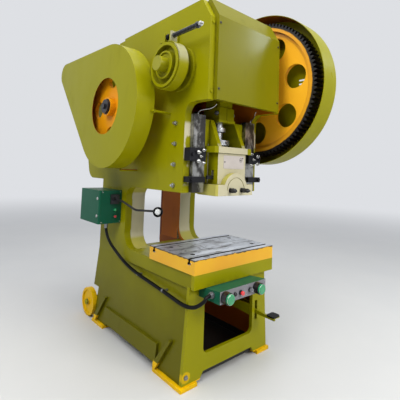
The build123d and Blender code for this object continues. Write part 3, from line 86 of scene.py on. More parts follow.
class Finish:
    """Lays out the nodes of one material. Places are object coordinates, in metres."""

    def __init__(self, name):
        self.material = bpy.data.materials.new(name)
        self.material.use_nodes = True
        self.tree = self.material.node_tree
        self.shader = self.tree.nodes["Principled BSDF"]
        coords = self.tree.nodes.new("ShaderNodeTexCoord")
        self.place = coords.outputs["Object"]
        self.normal = coords.outputs["Normal"]

    def node(self, kind, settings=None, inputs=None):
        """Adds a node. inputs holds numbers, colours or sockets by input name or number."""
        made = self.tree.nodes.new(kind)
        for key, value in (settings or {}).items():
            setattr(made, key, value)
        for key, value in (inputs or {}).items():
            self.feed(made.inputs[key], value)
        return made

    def feed(self, socket, value):
        """Links a socket or writes a value into one."""
        if isinstance(value, bpy.types.NodeSocket):
            self.tree.links.new(value, socket)
        else:
            socket.default_value = value

    def set(self, name, value):
        """Sets an input of the shader."""
        self.feed(self.shader.inputs[name], value)

    def noise(self, scale, detail=3.0, stretch=(1, 1, 1), roughness=0.55):
        """A noise value between 0 and 1."""
        spread = self.node("ShaderNodeMapping", inputs={"Vector": self.place, "Scale": stretch})
        made = self.node("ShaderNodeTexNoise", inputs={
            "Vector": spread.outputs[0], "Scale": scale, "Detail": detail, "Roughness": roughness})
        return made.outputs["Fac"]

    def calc(self, operation, first, second=0.0, clamp=False):
        """One sum on two values."""
        made = self.node("ShaderNodeMath", {"operation": operation, "use_clamp": clamp},
                         {0: first, 1: second})
        return made.outputs[0]

    def times(self, first, second):
        """The product of two values."""
        return self.calc("MULTIPLY", first, second)

    def at(self, letter):
        """One coordinate of the point on the surface."""
        return self.axis(self.place, letter)

    def vector(self, operation, first, second=(0.0, 0.0, 0.0)):
        """One sum on vectors, as a node."""
        return self.node("ShaderNodeVectorMath", {"operation": operation}, {0: first, 1: second})

    def band(self, value, low, high):
        """0 below low, 1 above high, smooth between them. With low over high it falls."""
        settings = {"interpolation_type": "SMOOTHSTEP"}
        span = {"Value": value, "From Min": min(low, high), "From Max": max(low, high),
                "To Min": float(low > high), "To Max": float(low <= high)}
        return self.node("ShaderNodeMapRange", settings, span).outputs[0]

    def mix(self, share, first, second, blend="MIX"):
        """A mix of two colours."""
        made = self.node("ShaderNodeMix", {"data_type": "RGBA", "blend_type": blend},
                         {"Factor": share})
        self.feed(made.inputs[6], first)
        self.feed(made.inputs[7], second)
        return made.outputs[2]

    def blend(self, share, first, second):
        """A mix of two values."""
        made = self.node("ShaderNodeMix", {"data_type": "FLOAT"}, {"Factor": share})
        self.feed(made.inputs[2], first)
        self.feed(made.inputs[3], second)
        return made.outputs[0]

    def axis(self, vector, letter):
        """One part of a vector."""
        return self.node("ShaderNodeSeparateXYZ", inputs={0: vector}).outputs[letter]

    def edges(self, width, low=0.02, high=0.16):
        """1 on outer and inner edges that are sharper than the width."""
        rounded = self.node("ShaderNodeBevel", {"samples": 4}, {"Radius": width})
        true = self.node("ShaderNodeNewGeometry").outputs["True Normal"]
        flat = self.vector("DOT_PRODUCT", rounded.outputs[0], true).outputs["Value"]
        return self.band(self.calc("SUBTRACT", 1.0, flat), low, high)

    def hollows(self, distance):
        """1 in deep corners."""
        shade = self.node("ShaderNodeAmbientOcclusion", {"samples": 4, "only_local": False},
                          {"Distance": distance}).outputs["AO"]
        return self.band(shade, 0.75, 0.25)

    def bump(self, height, strength, distance=0.001, rounding=0.0):
        """Turns a height into the shader's normal."""
        made = self.node("ShaderNodeBump", inputs={
            "Height": height, "Strength": strength, "Distance": distance})
        if rounding:
            soft = self.node("ShaderNodeBevel", {"samples": 4}, {"Radius": rounding})
            self.feed(made.inputs["Normal"], soft.outputs[0])
        self.set("Normal", made.outputs[0])


def painted(name, colour, rough=0.3, zones=(), wear=0.5, hollow_shade_and_grime=0.6, coat=0.05):
    """Gloss paint with a brush and roller texture, painted shade in its deep corners with patches
    of dust, and chipped edges.

    zones holds (function that gives a mask, colour) for parts painted another colour."""
    f = Finish(name)
    base = f.mix(f.noise(2.2, 4.0), [c * 0.86 for c in colour[:3]] + [1], colour)
    for mask, other in zones:
        base = f.mix(mask(f), base, other)
    patch = f.band(f.noise(7.0, 6.0, (1, 1, 0.45)), 0.56, 0.74)
    # Painted shade: deep corners, found by ambient occlusion, are darkened, together with dust
    # patches.
    hollow_shade_and_dirt = f.times(f.hollows(0.09), f.band(f.noise(16.0, 5.0), 0.3, 0.7))
    hollow_shade_and_dirt = f.calc("MAXIMUM", f.times(patch, 0.16), hollow_shade_and_dirt)
    base = f.mix(f.times(hollow_shade_and_dirt, hollow_shade_and_grime), base, GRIME_AND_SHADE)
    chips = f.times(f.edges(0.0035), f.band(f.noise(38.0, 5.0), 0.52, 0.6))
    base = f.mix(f.times(chips, wear), base, srgb(84, 74, 56))
    f.set("Base Color", base)
    rough_low = f.blend(f.noise(5.0, 5.0, (1, 1, 0.5)), rough - 0.09, rough + 0.16)
    f.set("Roughness", f.blend(hollow_shade_and_dirt, rough_low, 0.72))
    f.set("Coat Weight", coat)
    f.set("Coat Roughness", 0.14)
    f.set("Specular IOR Level", 0.10)
    peel = f.calc("ADD", f.noise(150.0, 2.0), f.times(f.noise(9.0, 3.0), 2.2))
    f.bump(peel, 0.16, 0.0016, 0.0022)
    return f.material


def metal(name, colour, rough=0.35, hollow_shade_and_grime=0.5, streaks=(1, 1, 1), dark=GREASE_AND_SHADE):
    """Worked steel with oil stains, painted shade in its hollows and fine tool marks."""
    f = Finish(name)
    base = f.mix(f.noise(14.0, 5.0), [c * 0.7 for c in colour[:3]] + [1], colour)
    # Painted shade in the hollows, found by ambient occlusion, mixed with the oil stains.
    stain_and_shade = f.calc("MAXIMUM", f.times(f.hollows(0.03), 0.8),
                   f.band(f.noise(24.0, 6.0), 0.54, 0.72))
    f.set("Base Color", f.mix(f.times(stain_and_shade, hollow_shade_and_grime), base, dark))
    f.set("Metallic", 0.85)
    clean = f.blend(f.noise(60.0, 3.0, streaks), rough - 0.1, rough + 0.15)
    f.set("Roughness", f.blend(stain_and_shade, clean, 0.5))
    f.bump(f.noise(190.0, 3.0, streaks), 0.22, 0.0006, 0.0012)
    return f.material


def plastic(name, colour, rough=0.35, grain=0.12, shine=0.5):
    """Moulded plastic or rubber with a fine grain and rubbed edges."""
    f = Finish(name)
    pale = [min(1.0, c * 1.6 + 0.004) for c in colour[:3]] + [1]
    base = f.mix(f.times(f.noise(28.0, 4.0), 0.35), colour, pale)
    f.set("Base Color", f.mix(f.times(f.edges(0.0016), 0.3), base, pale))
    f.set("Roughness", f.blend(f.noise(45.0, 3.0), rough - 0.06, rough + 0.12))
    f.set("Specular IOR Level", shine)
    f.bump(f.noise(420.0, 2.0), grain, 0.0004, 0.0008)
    return f.material


def faces_front(f):
    """1 on faces that look forwards."""
    return f.band(f.times(f.axis(f.normal, "Y"), -1.0), 0.86, 0.96)


def faces_inwards(f):
    """1 on faces of the frame that look towards its middle plane."""
    across = f.times(f.axis(f.normal, "X"), f.at("X"))
    return f.band(across, -0.06, -0.12)


def below_bed(f):
    """1 on inner faces under the bed and in the head."""
    height = f.at("Z")
    inside = f.calc("MAXIMUM", f.band(height, *UNDER_BED), f.band(height, *IN_HEAD))
    return f.times(faces_inwards(f), inside)


def under_slab(f):
    """1 on the bed box behind its apron and below its slab."""
    behind = f.band(f.at("Y"), APRON_BACK - 0.002, APRON_BACK + 0.002)
    low = f.band(f.at("Z"), SLAB_TOP - 0.002, SLAB_TOP - 0.006)
    return f.times(behind, low)


def rear_wall(f):
    """1 on the faces at the very back of the columns."""
    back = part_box("columns")[1].y
    return f.band(f.at("Y"), back - 0.030, back - 0.026)


def foot_ends(f):
    """1 on the feet and the lowest ends of the ribs that stand on them."""
    height = f.at("Z")
    ragged = f.times(f.noise(9.0, 3.0), 0.02)
    outside = f.band(f.calc("ABSOLUTE", f.at("X")), SKIRT_OUT + 0.001, SKIRT_OUT + 0.003)
    on_rib = f.times(outside, f.band(f.calc("ADD", height, ragged), *RIB_END))
    along = f.at("Y")
    at_foot = f.calc("MAXIMUM", f.band(along, FRONT_FOOT_END, FRONT_FOOT_END - 0.004),
                     f.band(along, REAR_FOOT_START, REAR_FOOT_START + 0.004))
    on_rib = f.times(on_rib, at_foot)
    return f.calc("MAXIMUM", on_rib, f.band(height, *FOOT_FACE))


def corner_patch(f):
    """1 on the yellow patch round the bolt at the lower left corner of the front plate."""
    across = f.calc("ADD", f.at("X"), CORNER_BOLT[0])
    up = f.calc("SUBTRACT", f.at("Z"), CORNER_BOLT[1])
    square = f.calc("ADD", f.times(across, across), f.times(up, up))
    ragged = f.times(f.noise(24.0, 5.0), 0.0016)
    disc = f.times(f.band(f.calc("ADD", square, ragged), *CORNER_DISC), 0.6)
    return f.calc("MAXIMUM", disc, f.band(f.at("Z"), *PLATE_FOOT))


def neck_edge(f):
    """1 in patches on the front edge of the neck, which is pale there."""
    height = f.at("Z")
    part = f.times(f.band(height, *NECK_FROM), f.band(height, *NECK_TO))
    part = f.times(part, faces_front(f))
    return f.times(part, f.band(f.noise(8.0, 4.0, (1, 1, 0.6)), 0.50, 0.54))


def painted_floor_shade(f):
    """Rises towards the floor: painted shade, which makes the paint darker towards the bottom."""
    ragged = f.times(f.noise(3.0, 5.0), 0.35)
    height = f.calc("SUBTRACT", f.at("Z"), ragged)
    return f.times(f.band(height, *FLOOR_SHADE_HEIGHT), 0.85)


def slide_front_highlight(f):
    """1 on the front of the slide's block, painted pale as a painted highlight of the light from
    the front.
    """
    inside = f.band(f.calc("ABSOLUTE", f.at("X")), *SLIDE_BLOCK_SIDE)
    low = f.band(f.at("Z"), *SLIDE_BLOCK_TOP)
    return f.times(faces_front(f), f.times(inside, low))


def strap_face(f):
    """1 on the lug and the upper front of the brake strap, worn down to pale metal."""
    height = f.at("Z")
    along = f.at("Y")
    crank_height = (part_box("bull_gear")[0].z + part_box("bull_gear")[1].z) / 2
    lug = f.times(f.band(height, crank_height + 0.16, crank_height + 0.19),
                 f.band(along, STRAP_FRONT + 0.010, STRAP_FRONT + 0.007))
    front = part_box("brake_band")[0].y
    arc = f.times(f.band(height, crank_height - 0.02, crank_height + 0.05),
                 f.band(along, front + 0.085, front + 0.055))
    return f.calc("MAXIMUM", f.times(lug, 0.9), f.times(arc, 0.75))


def gib_steel(name):
    """Guide strip of worn steel, black with oil in large patches."""
    f = Finish(name)
    steel = f.mix(f.noise(30.0, 5.0), srgb(124, 124, 122), srgb(184, 184, 182))
    oily = f.band(f.noise(9.0, 7.0, (1, 1, 0.55), 0.65), 0.46, 0.60)
    f.set("Base Color", f.mix(oily, srgb(46, 44, 42), steel))
    f.set("Metallic", f.blend(oily, 0.35, 0.8))
    f.set("Roughness", f.blend(f.noise(50.0, 3.0), 0.24, 0.42))
    f.bump(f.noise(90.0, 4.0, (1, 1, 0.4)), 0.3, 0.001, 0.0014)
    return f.material


def dressed_table(name):
    """The bed plate: yellow paint on its sides, ground and greasy steel on top."""
    f = Finish(name)
    top = f.band(f.axis(f.normal, "Z"), 0.6, 0.8)
    height = f.at("Z")
    table_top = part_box("table")[1].z
    ragged = f.times(f.noise(26.0, 6.0, (1, 1, 0.4)), 0.030)
    worn_edge = f.band(f.calc("ADD", height, ragged), table_top + 0.006, table_top + 0.010)
    steel = f.mix(f.noise(5.0, 5.0, (0.5, 2.2, 1)), srgb(146, 151, 160), srgb(212, 216, 222))
    smear = f.band(f.noise(6.5, 9.0, (0.55, 1.9, 1), 0.62), 0.44, 0.66)
    steel = f.mix(f.times(smear, 0.68), steel, srgb(70, 62, 48))
    marks = f.band(f.noise(15.0, 8.0, (1.0, 1.6, 1), 0.7), 0.54, 0.63)
    steel = f.mix(f.times(marks, 0.9), steel, srgb(26, 22, 20))
    shine = f.band(f.noise(5.0, 6.0, (0.6, 2.2, 1), 0.6), 0.48, 0.64)
    steel = f.mix(f.times(shine, 0.7), steel, srgb(214, 220, 228))
    yellow = f.mix(f.noise(3.0, 3.0), srgb(218, 146, 20), YELLOW)
    yellow = f.mix(worn_edge, yellow, srgb(58, 48, 34))
    low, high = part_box("table")
    along = f.at("Y")
    outer = f.band(f.calc("ABSOLUTE", f.at("X")), high.x - 0.003, high.x - 0.001)
    outer = f.calc("MAXIMUM", outer, f.band(along, low.y + 0.003, low.y + 0.001))
    outer = f.calc("MAXIMUM", outer, f.band(along, high.y - 0.003, high.y - 0.001))
    # Painted shade with grease: the walls of the slots and the hole are dark.
    steel = f.mix(f.calc("MAXIMUM", top, outer), srgb(40, 36, 32), steel)
    share = f.calc("MAXIMUM", top, f.calc("SUBTRACT", 1.0, outer))
    f.set("Base Color", f.mix(share, yellow, steel))
    f.set("Metallic", f.times(share, 0.55))
    f.set("Roughness", f.blend(share, 0.32, f.blend(smear, 0.28, 0.5)))
    scratches = f.noise(60.0, 6.0, (0.25, 3.0, 1))
    f.bump(f.blend(share, f.noise(150.0, 2.0), scratches), 0.25, 0.0012, 0.0016)
    return f.material


def away_from_axis(f, axis_at):
    """The way from an axis along X at (y, z) straight out to the point on the surface."""
    away = f.vector("SUBTRACT", f.place, (0.0, *axis_at))
    return f.vector("MULTIPLY", away.outputs[0], (0, 1, 1)).outputs[0]


def gear_finish(name):
    """Orange web and rim, black grease on the teeth."""
    f = Finish(name)
    low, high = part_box("bull_gear")
    mid = (low + high) / 2
    reach = (high.z - low.z) / 2
    far = f.vector("LENGTH", away_from_axis(f, (mid.y, mid.z))).outputs["Value"]
    edge = f.calc("ADD", far, f.times(f.noise(18.0, 4.0), 0.012))
    teeth = f.band(edge, reach - 0.040, reach - 0.030)
    base = f.mix(f.noise(3.0, 4.0), srgb(246, 168, 24), srgb(255, 192, 38))
    ring = f.band(edge, reach - 0.100, reach - 0.088)
    base = f.mix(f.times(ring, 0.35), base, srgb(150, 82, 12))
    # Painted shade: the gear's deep corners, found by ambient occlusion, are darkened.
    hollow_shade_and_dirt = f.times(f.hollows(0.04), 0.4)
    base = f.mix(hollow_shade_and_dirt, base, srgb(90, 44, 8))
    f.set("Base Color", f.mix(teeth, base, srgb(34, 32, 34)))
    f.set("Metallic", f.times(teeth, 0.5))
    f.set("Roughness", f.blend(teeth, 0.34, 0.42))
    f.set("Coat Weight", 0.2)
    f.bump(f.noise(120.0, 3.0), 0.2, 0.0014, 0.0016)
    return f.material


def inside_of(node_name, axis_at):
    """A mask of a guard's inner faces, seen from its axis at (y, z)."""
    low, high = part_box(node_name)
    open_side = 1.0 if (low.x + high.x) < 0 else -1.0
    back = open_side * (high.x if open_side < 0 else low.x)

    def mask(f):
        face = f.band(f.times(f.axis(f.normal, "X"), open_side), 0.8, 0.95)
        deep = f.band(f.times(f.at("X"), open_side), back + 0.02, back + 0.015)
        return f.calc("MAXIMUM", inside_rim(axis_at)(f), f.times(face, deep))

    return mask


def inside_rim(axis_at):
    """A mask of the faces that look towards an axis along X at (y, z)."""
    def mask(f):
        towards = f.vector("DOT_PRODUCT", away_from_axis(f, axis_at), f.normal)
        return f.band(towards.outputs["Value"], *TOWARDS_AXIS)

    return mask


def hub_disc(axis_at, radius):
    """A mask of what lies nearer than a radius to an axis along X at (y, z)."""
    def mask(f):
        far = f.vector("LENGTH", away_from_axis(f, axis_at))
        return f.band(far.outputs["Value"], radius + 0.002, radius - 0.002)

    return mask


def nose_part(f):
    """1 on the left end of the crankshaft, outside the brake drum."""
    return f.band(f.at("X"), *SHAFT_NOSE)


def part_steel(name, painted_part):
    """Worked steel with one painted part."""
    f = Finish(name)
    share = painted_part(f)
    stain_and_shade = f.band(f.noise(24.0, 6.0), 0.5, 0.7)
    steel = f.mix(f.times(stain_and_shade, 0.6), STEEL, GREASE_AND_SHADE)
    paint = f.mix(f.noise(8.0, 4.0), [c * 0.8 for c in OLIVE[:3]] + [1], OLIVE)
    f.set("Base Color", f.mix(share, steel, paint))
    f.set("Metallic", f.blend(share, 0.85, 0.0))
    f.set("Roughness", f.blend(f.noise(40.0, 3.0), 0.24, 0.42))
    f.bump(f.noise(150.0, 2.0), 0.18, 0.001, 0.0016)
    return f.material


def black_hub(name):
    """Steel shaft whose nut outside the flywheel is black and greasy."""
    f = Finish(name)
    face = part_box("flywheel")[0].x
    outside = f.band(f.at("X"), face + 0.006, face + 0.002)
    steel = f.mix(f.noise(24.0, 5.0), srgb(96, 98, 102), srgb(60, 60, 62))
    black = f.mix(f.noise(30.0, 5.0), srgb(20, 20, 24), srgb(48, 46, 48))
    f.set("Base Color", f.mix(outside, steel, black))
    f.set("Metallic", f.blend(outside, 0.8, 0.25))
    f.set("Roughness", f.blend(f.noise(40.0, 3.0), 0.28, 0.45))
    f.bump(f.noise(160.0, 2.0), 0.2, 0.0008, 0.0014)
    return f.material


def bar_steel(name):
    """The knockout bar: black beside the slide, bare bluish steel at its ends."""
    f = Finish(name)
    away = f.calc("ABSOLUTE", f.at("X"))
    ragged = f.times(f.noise(20.0, 4.0), 0.06)
    bare = f.band(f.calc("ADD", away, ragged), *BARE_BAR_END)
    steel = f.mix(f.noise(26.0, 5.0), srgb(120, 132, 150), srgb(186, 194, 206))
    f.set("Base Color", f.mix(bare, srgb(26, 26, 30), steel))
    f.set("Metallic", f.blend(bare, 0.3, 0.85))
    f.set("Roughness", f.blend(f.noise(40.0, 3.0), 0.26, 0.44))
    f.bump(f.noise(160.0, 2.0), 0.2, 0.0008, 0.0014)
    return f.material


def ringed_black(name):
    """Black flexible arm, wound of wire: rings across its run from back to front."""
    f = Finish(name)
    turn = f.times(f.at("Y"), 2 * math.pi / ARM_RING_PITCH)
    rings = f.calc("SINE", turn)
    arm = f.band(f.at("Y"), ARM_FROM, ARM_FROM - 0.004)
    f.set("Base Color", f.mix(f.noise(30.0, 4.0), srgb(18, 18, 20), srgb(40, 40, 43)))
    f.set("Roughness", 0.32)
    f.set("Metallic", 0.2)
    f.bump(f.times(rings, arm), 0.6, 0.0012, 0.0008)
    return f.material


def faces_back(f):
    """1 on faces that look backwards."""
    return f.band(f.axis(f.normal, "Y"), 0.7, 0.9)


def glass_bulb(name):
    """Frosted lamp glass."""
    f = Finish(name)
    f.set("Base Color", f.mix(f.noise(30.0), srgb(236, 238, 236), srgb(250, 250, 248)))
    f.set("Roughness", 0.12)
    f.set("Coat Weight", 0.6)
    return f.material


def lens(name, colour):
    """Glossy coloured button plastic with a ribbed lens."""
    f = Finish(name)
    light = [min(1.0, c * 1.35 + 0.02) for c in colour[:3]] + [1]
    f.set("Base Color", f.mix(f.noise(22.0, 2.0), colour, light))
    f.set("Roughness", 0.16)
    f.set("Coat Weight", 0.7)
    f.set("Coat Roughness", 0.05)
    f.bump(f.noise(220.0, 2.0), 0.06, 0.0005, 0.0012)
    return f.material


# Spans, in metres, over which a mask goes from 0 to 1.
UNDER_BED = (0.765, 0.745)
IN_HEAD = (1.30, 1.32)
NECK_FROM = (1.33, 1.37)
NECK_TO = (1.82, 1.79)
RIB_END = (0.088, 0.082)
FOOT_FACE = (0.0265, 0.0255)
PLATE_FOOT = (0.034, 0.031)
FLOOR_SHADE_HEIGHT = (0.95, -0.05)
SLIDE_BLOCK_SIDE = (0.166, 0.162)
SLIDE_BLOCK_TOP = (1.665, 1.660)
SHAFT_NOSE = (-0.560, -0.566)
BARE_BAR_END = (0.265, 0.315)
FLOOR_FADE = (4.0, 14.0)
# The same for the square of a distance, and for a point's way from an axis along a normal.
CORNER_DISC = (0.0026, 0.0018)
TOWARDS_AXIS = (-0.02, -0.08)

# Places on the press, in metres.
HUB_RADIUS = 0.066
ARM_RING_PITCH = 0.0055
ARM_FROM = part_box("cabinet")[0].y - 0.036
CORNER_BOLT = (0.413, 0.081)
PANEL_Y = -0.8575
CABINET_Y = 0.3425
MOTOR_AT = (1.1505, 2.405)
APRON_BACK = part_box("table")[0].y + 0.030
SLAB_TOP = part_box("table")[0].z
TABLE_MIDDLE_Y = -0.4675
FOOT_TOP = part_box("front_plate")[0].z
SKIRT_OUT = 0.440
FRONT_FOOT_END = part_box("front_plate")[0].y - 0.014 + 0.330
REAR_FOOT_START = 0.4675
STRAP_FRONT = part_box("brake_spring")[1].y
LUG_FRONT = -0.4426


def make_finishes():
    """Every finish, by a plain name."""
    crank_at = (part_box("bull_gear")[0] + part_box("bull_gear")[1]) / 2
    drive_at = (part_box("drive_bearings")[0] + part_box("drive_bearings")[1]) / 2
    return {
        # Frame: painted shade darkens the olive towards the floor.
        "frame": painted("frame_paint", OLIVE,
                         zones=[(painted_floor_shade, OLIVE_SHADED), (below_bed, BROWN), (neck_edge, CREAM),
                                (foot_ends, YELLOW)]),
        "plain": painted("plain_paint", OLIVE),
        # Cover: the same olive paint, made darker as painted shade.
        "cover": painted("cover_shaded_paint", srgb(120, 116, 4), 0.30, coat=0.16),
        "front": painted("front_plate_paint", OLIVE,
                         zones=[(faces_back, BROWN), (corner_patch, YELLOW)]),
        # Columns: their front faces are painted pale as a painted highlight, and their rear wall a
        # darker brown as painted shade on the inner paint.
        "columns": painted("column_paint", OLIVE_PALE,
                           zones=[(faces_front, CREAM), (faces_inwards, INNER_ORANGE),
                                  (rear_wall, RED_BROWN)]),
        # Bed: under the slab the inner brown is painted lighter than on the side plates' inner
        # faces, as painted light.
        "bed": painted("bed_paint", OLIVE, zones=[(under_slab, LIT_WALL_BROWN)]),
        "strap": painted("strap_paint", OLIVE, zones=[(strap_face, WORN)]),
        "shaft": part_steel("shaft_finish", nose_part),
        "hub": black_hub("hub_finish"),
        "gib": gib_steel("gib_finish"),
        "bar": bar_steel("bar_finish"),
        "gooseneck": ringed_black("gooseneck_finish"),
        "slide": painted("slide_paint", OLIVE, zones=[(slide_front_highlight, CREAM)]),
        # Clamp: its front faces are painted pale as a painted highlight.
        "clamp": painted("clamp_paint", OLIVE_PALE, zones=[(faces_front, CREAM)]),
        "fly_guard": painted("flywheel_guard_paint", OLIVE,
                             zones=[(inside_of("flywheel_guard", (drive_at.y, drive_at.z)),
                                     RED_BROWN)]),
        "gear_guard": painted("gear_guard_paint", OLIVE,
                              zones=[(inside_rim((crank_at.y, crank_at.z)), RED_BROWN)]),
        "flywheel": painted("flywheel_paint", ORANGE,
                            zones=[(hub_disc((drive_at.y, drive_at.z), HUB_RADIUS),
                                    srgb(24, 24, 28))]),
        "wheel": painted("wheel_paint", YELLOW),
        "box": painted("box_paint", PLATE_GREEN, wear=0.3, hollow_shade_and_grime=0.35),
        "desk": painted("desk_paint", PLATE_GREEN, zones=[(faces_front, PANEL_GREY)], wear=0.3,
                        hollow_shade_and_grime=0.3),
        "motor": painted("motor_paint", MOTOR_BLUE),
        "table": dressed_table("table_finish"),
        "gear": gear_finish("gear_finish"),
        "steel": metal("steel_finish", STEEL),
        "dark_steel": metal("dark_steel_finish", srgb(78, 80, 84), 0.42),
        "bright": metal("bright_finish", srgb(190, 192, 196), 0.24, 0.35),
        "cast": metal("cast_finish", srgb(96, 98, 100), 0.5, 0.6),
        "bronze": metal("bronze_finish", srgb(176, 132, 70), 0.36),
        "black_metal": metal("black_bolt_finish", srgb(44, 44, 48), 0.38, 0.3),
        "rubber": plastic("rubber_finish", srgb(3, 3, 4), 0.36, 0.3, 0.16),
        "black": plastic("black_plastic_finish", srgb(18, 18, 20), 0.26),
        "tray": plastic("shade_tray_finish", srgb(16, 14, 12), 0.5, 0.3),
        "chrome": metal("chrome_finish", srgb(206, 206, 204), 0.2, 0.7),
        "green_lens": lens("green_lens_finish", LENS_GREEN),
        "red_lens": lens("red_lens_finish", LENS_RED),
        "bulb": glass_bulb("bulb_finish"),
        "pale_weld": painted("pale_weld_paint", CREAM),
        "pale_plate": plastic("pale_plate_finish", srgb(184, 176, 170), 0.3),
    }


finish = make_finishes()
FINISH_OF = {
    "side_plate_left": "frame", "side_plate_right": "frame", "bed_box": "bed",
    "front_plate": "front", "columns": "columns", "roof_plate": "plain", "frame_ties": "plain",
    "crank_housings": "plain", "crank_bushes": "bronze", "crankshaft": "shaft",
    "bull_gear": "gear", "gear_bush": "bronze", "pinion_shaft": "hub",
    "drive_bearings": "plain", "flywheel": "flywheel", "motor_pulley": "cast", "motor": "motor",
    "motor_bracket": "plain", "v_belts": "rubber", "flywheel_guard": "fly_guard",
    "gear_guard": "gear_guard", "brake_drum": "plain", "brake_band": "strap",
    "brake_bolt": "dark_steel", "brake_spring": "dark_steel", "slide": "slide",
    "shank_clamp": "clamp", "clamp_studs": "black_metal", "knockout_bar": "bar",
    "ball_seat": "bronze", "gibs": "gib", "gib_screws": "bright",
    "gib_clamps": "black_metal", "connecting_rod": "plain", "rod_cap": "plain",
    "rod_bolts": "steel", "rod_bush": "bronze", "ball_screw": "bright", "front_cover": "cover",
    "table": "table", "table_bolts": "black_metal", "cabinet": "box", "cabinet_door": "box",
    "lamp_arm": "gooseneck", "pilot_lamp": "green_lens", "stop_button": "red_lens",
    "lamp_shade": "black", "lamp_bulb": "bulb", "control_box": "desk",
    "button_collars": "black", "palm_button_left": "green_lens",
    "palm_button_right": "green_lens", "emergency_stop": "red_lens", "selector_knob": "bright",
    "conduit_fittings": "steel", "pedal_lever": "plain", "pedal_pad": "rubber",
    "wheel_left": "wheel", "wheel_right": "wheel", "conduit": "rubber",
}
for node_name, finish_name in FINISH_OF.items():
    mesh = nodes[node_name].data
    mesh.materials.clear()
    mesh.materials.append(finish[finish_name])


class Shape:
    """Collects the surface of one piece."""

    def __init__(self):
        self.bm = bmesh.new()

    def rings(self, loops, closed=False):
        """Joins loops of points of equal length into a skin with closed ends."""
        rows = [[self.bm.verts.new(point) for point in loop] for loop in loops]
        pairs = list(zip(rows, rows[1:]))
        if closed:
            pairs.append((rows[-1], rows[0]))
        count = len(rows[0])
        for near, far in pairs:
            for k in range(count):
                self.bm.faces.new((near[k], near[(k + 1) % count],
                                   far[(k + 1) % count], far[k]))
        if not closed:
            self.bm.faces.new(list(reversed(rows[0])))
            self.bm.faces.new(rows[-1])

    def turned(self, profile, start, axis, sides=32):
        """Turns a profile of (radius, distance along the axis) about an axis."""
        axis = Vector(axis).normalized()
        across = axis.orthogonal().normalized()
        other = axis.cross(across)
        loops = []
        for radius, along in profile:
            middle = Vector(start) + axis * along
            loops.append([middle + (across * math.cos(a) + other * math.sin(a)) * max(radius, 1e-5)
                          for a in (2 * math.pi * k / sides for k in range(sides))])
        self.rings(loops)

    def tube(self, path, radii, sides=10):
        """A tube along a path. radii is one number or one for each point."""
        path = [Vector(point) for point in path]
        if isinstance(radii, float):
            radii = [radii] * len(path)
        across = (path[1] - path[0]).normalized().orthogonal().normalized()
        loops = []
        for k, point in enumerate(path):
            ahead = path[min(k + 1, len(path) - 1)] - path[max(k - 1, 0)]
            along = ahead.normalized()
            across = (across - along * across.dot(along)).normalized()
            other = along.cross(across)
            loops.append([point + (across * math.cos(a) + other * math.sin(a)) * radii[k]
                          for a in (2 * math.pi * j / sides for j in range(sides))])
        self.rings(loops)

    def slab(self, corners, depth):
        """A flat plate from its outline and its thickness as a vector."""
        depth = Vector(depth)
        self.rings([[Vector(c) for c in corners], [Vector(c) + depth for c in corners]])

    def piece(self, name, finish_name, body, sharp=0.6, bevel=0.0):
        """Makes the piece and lets it ride on a body."""
        bmesh.ops.recalc_face_normals(self.bm, faces=self.bm.faces)
        mesh = bpy.data.meshes.new(name)
        self.bm.to_mesh(mesh)
        self.bm.free()
        mesh.shade_smooth()
        mesh.set_sharp_from_angle(angle=sharp)
        mesh.materials.append(finish[finish_name])
        made = bpy.data.objects.new(name, mesh)
        bpy.context.scene.collection.objects.link(made)
        if bevel:
            rounding = made.modifiers.new("edges", "BEVEL")
            rounding.width = bevel
            rounding.segments = 2
            rounding.limit_method = "ANGLE"
        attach(made, body)
        return made


def route(points):
    """Points along a smooth line through a route, with its ends at the ends."""
    curve = bpy.data.curves.new("route", "CURVE")
    curve.dimensions = "3D"
    spline = curve.splines.new("NURBS")
    spline.points.add(len(points) - 1)
    for spot, point in zip(spline.points, points):
        spot.co = (*point, 1.0)
    spline.use_endpoint_u = True
    spline.order_u = 3
    spline.resolution_u = 24
    holder = bpy.data.objects.new("route", curve)
    bpy.context.scene.collection.objects.link(holder)
    line = bpy.data.meshes.new_from_object(holder)
    found = [Vector(v.co) for v in line.vertices]
    bpy.data.objects.remove(holder)
    return found


def even_points(points, step):
    """Points of a line at an even distance."""
    out = [points[0]]
    left = step
    for a, b in zip(points, points[1:]):
        length = (b - a).length
        while length >= left:
            a = a + (b - a).normalized() * left
            out.append(a)
            length = (b - a).length
            left = step
        left -= length
    return out


def make_spring():
    """The brake spring, coiled between the strap and the washer."""
    low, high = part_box("brake_spring")
    middle = (low + high) / 2
    wire = 0.0034
    reach = (high.z - low.z) / 2 - wire
    length = high.y - low.y - 2 * wire
    turns = 17
    steps = turns * 18
    flat = 0.045  # share of the wire that lies flat at each end
    path = []
    for k in range(steps + 1):
        share = k / steps
        pitch = min(max((share - flat) / (1 - 2 * flat), 0.0), 1.0)
        a = 2 * math.pi * turns * share
        path.append((middle.x + reach * math.cos(a), low.y + wire + length * pitch,
                     middle.z + reach * math.sin(a)))
    shape = Shape()
    shape.tube(path, wire, 8)
    coil = shape.piece("brake_spring_coil", "dark_steel", BODY_OF["brake_spring"])
    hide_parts("brake_spring")


# Centre line of the hose, from the cabinet down and forward to the control box, in metres.
HOSE_ROUTE = [
    (-0.5145, 0.4025, 0.941), (-0.5145, 0.4025, 0.835), (-0.421, 0.2725, 0.655),
    (-0.421, 0.0525, 0.600), (-0.435, -0.4075, 0.568), (-0.435, -0.6925, 0.532),
    (-0.390, -0.7875, 0.600), (-0.380, -0.7875, 0.634), (-0.328, -0.7875, 0.634),
]


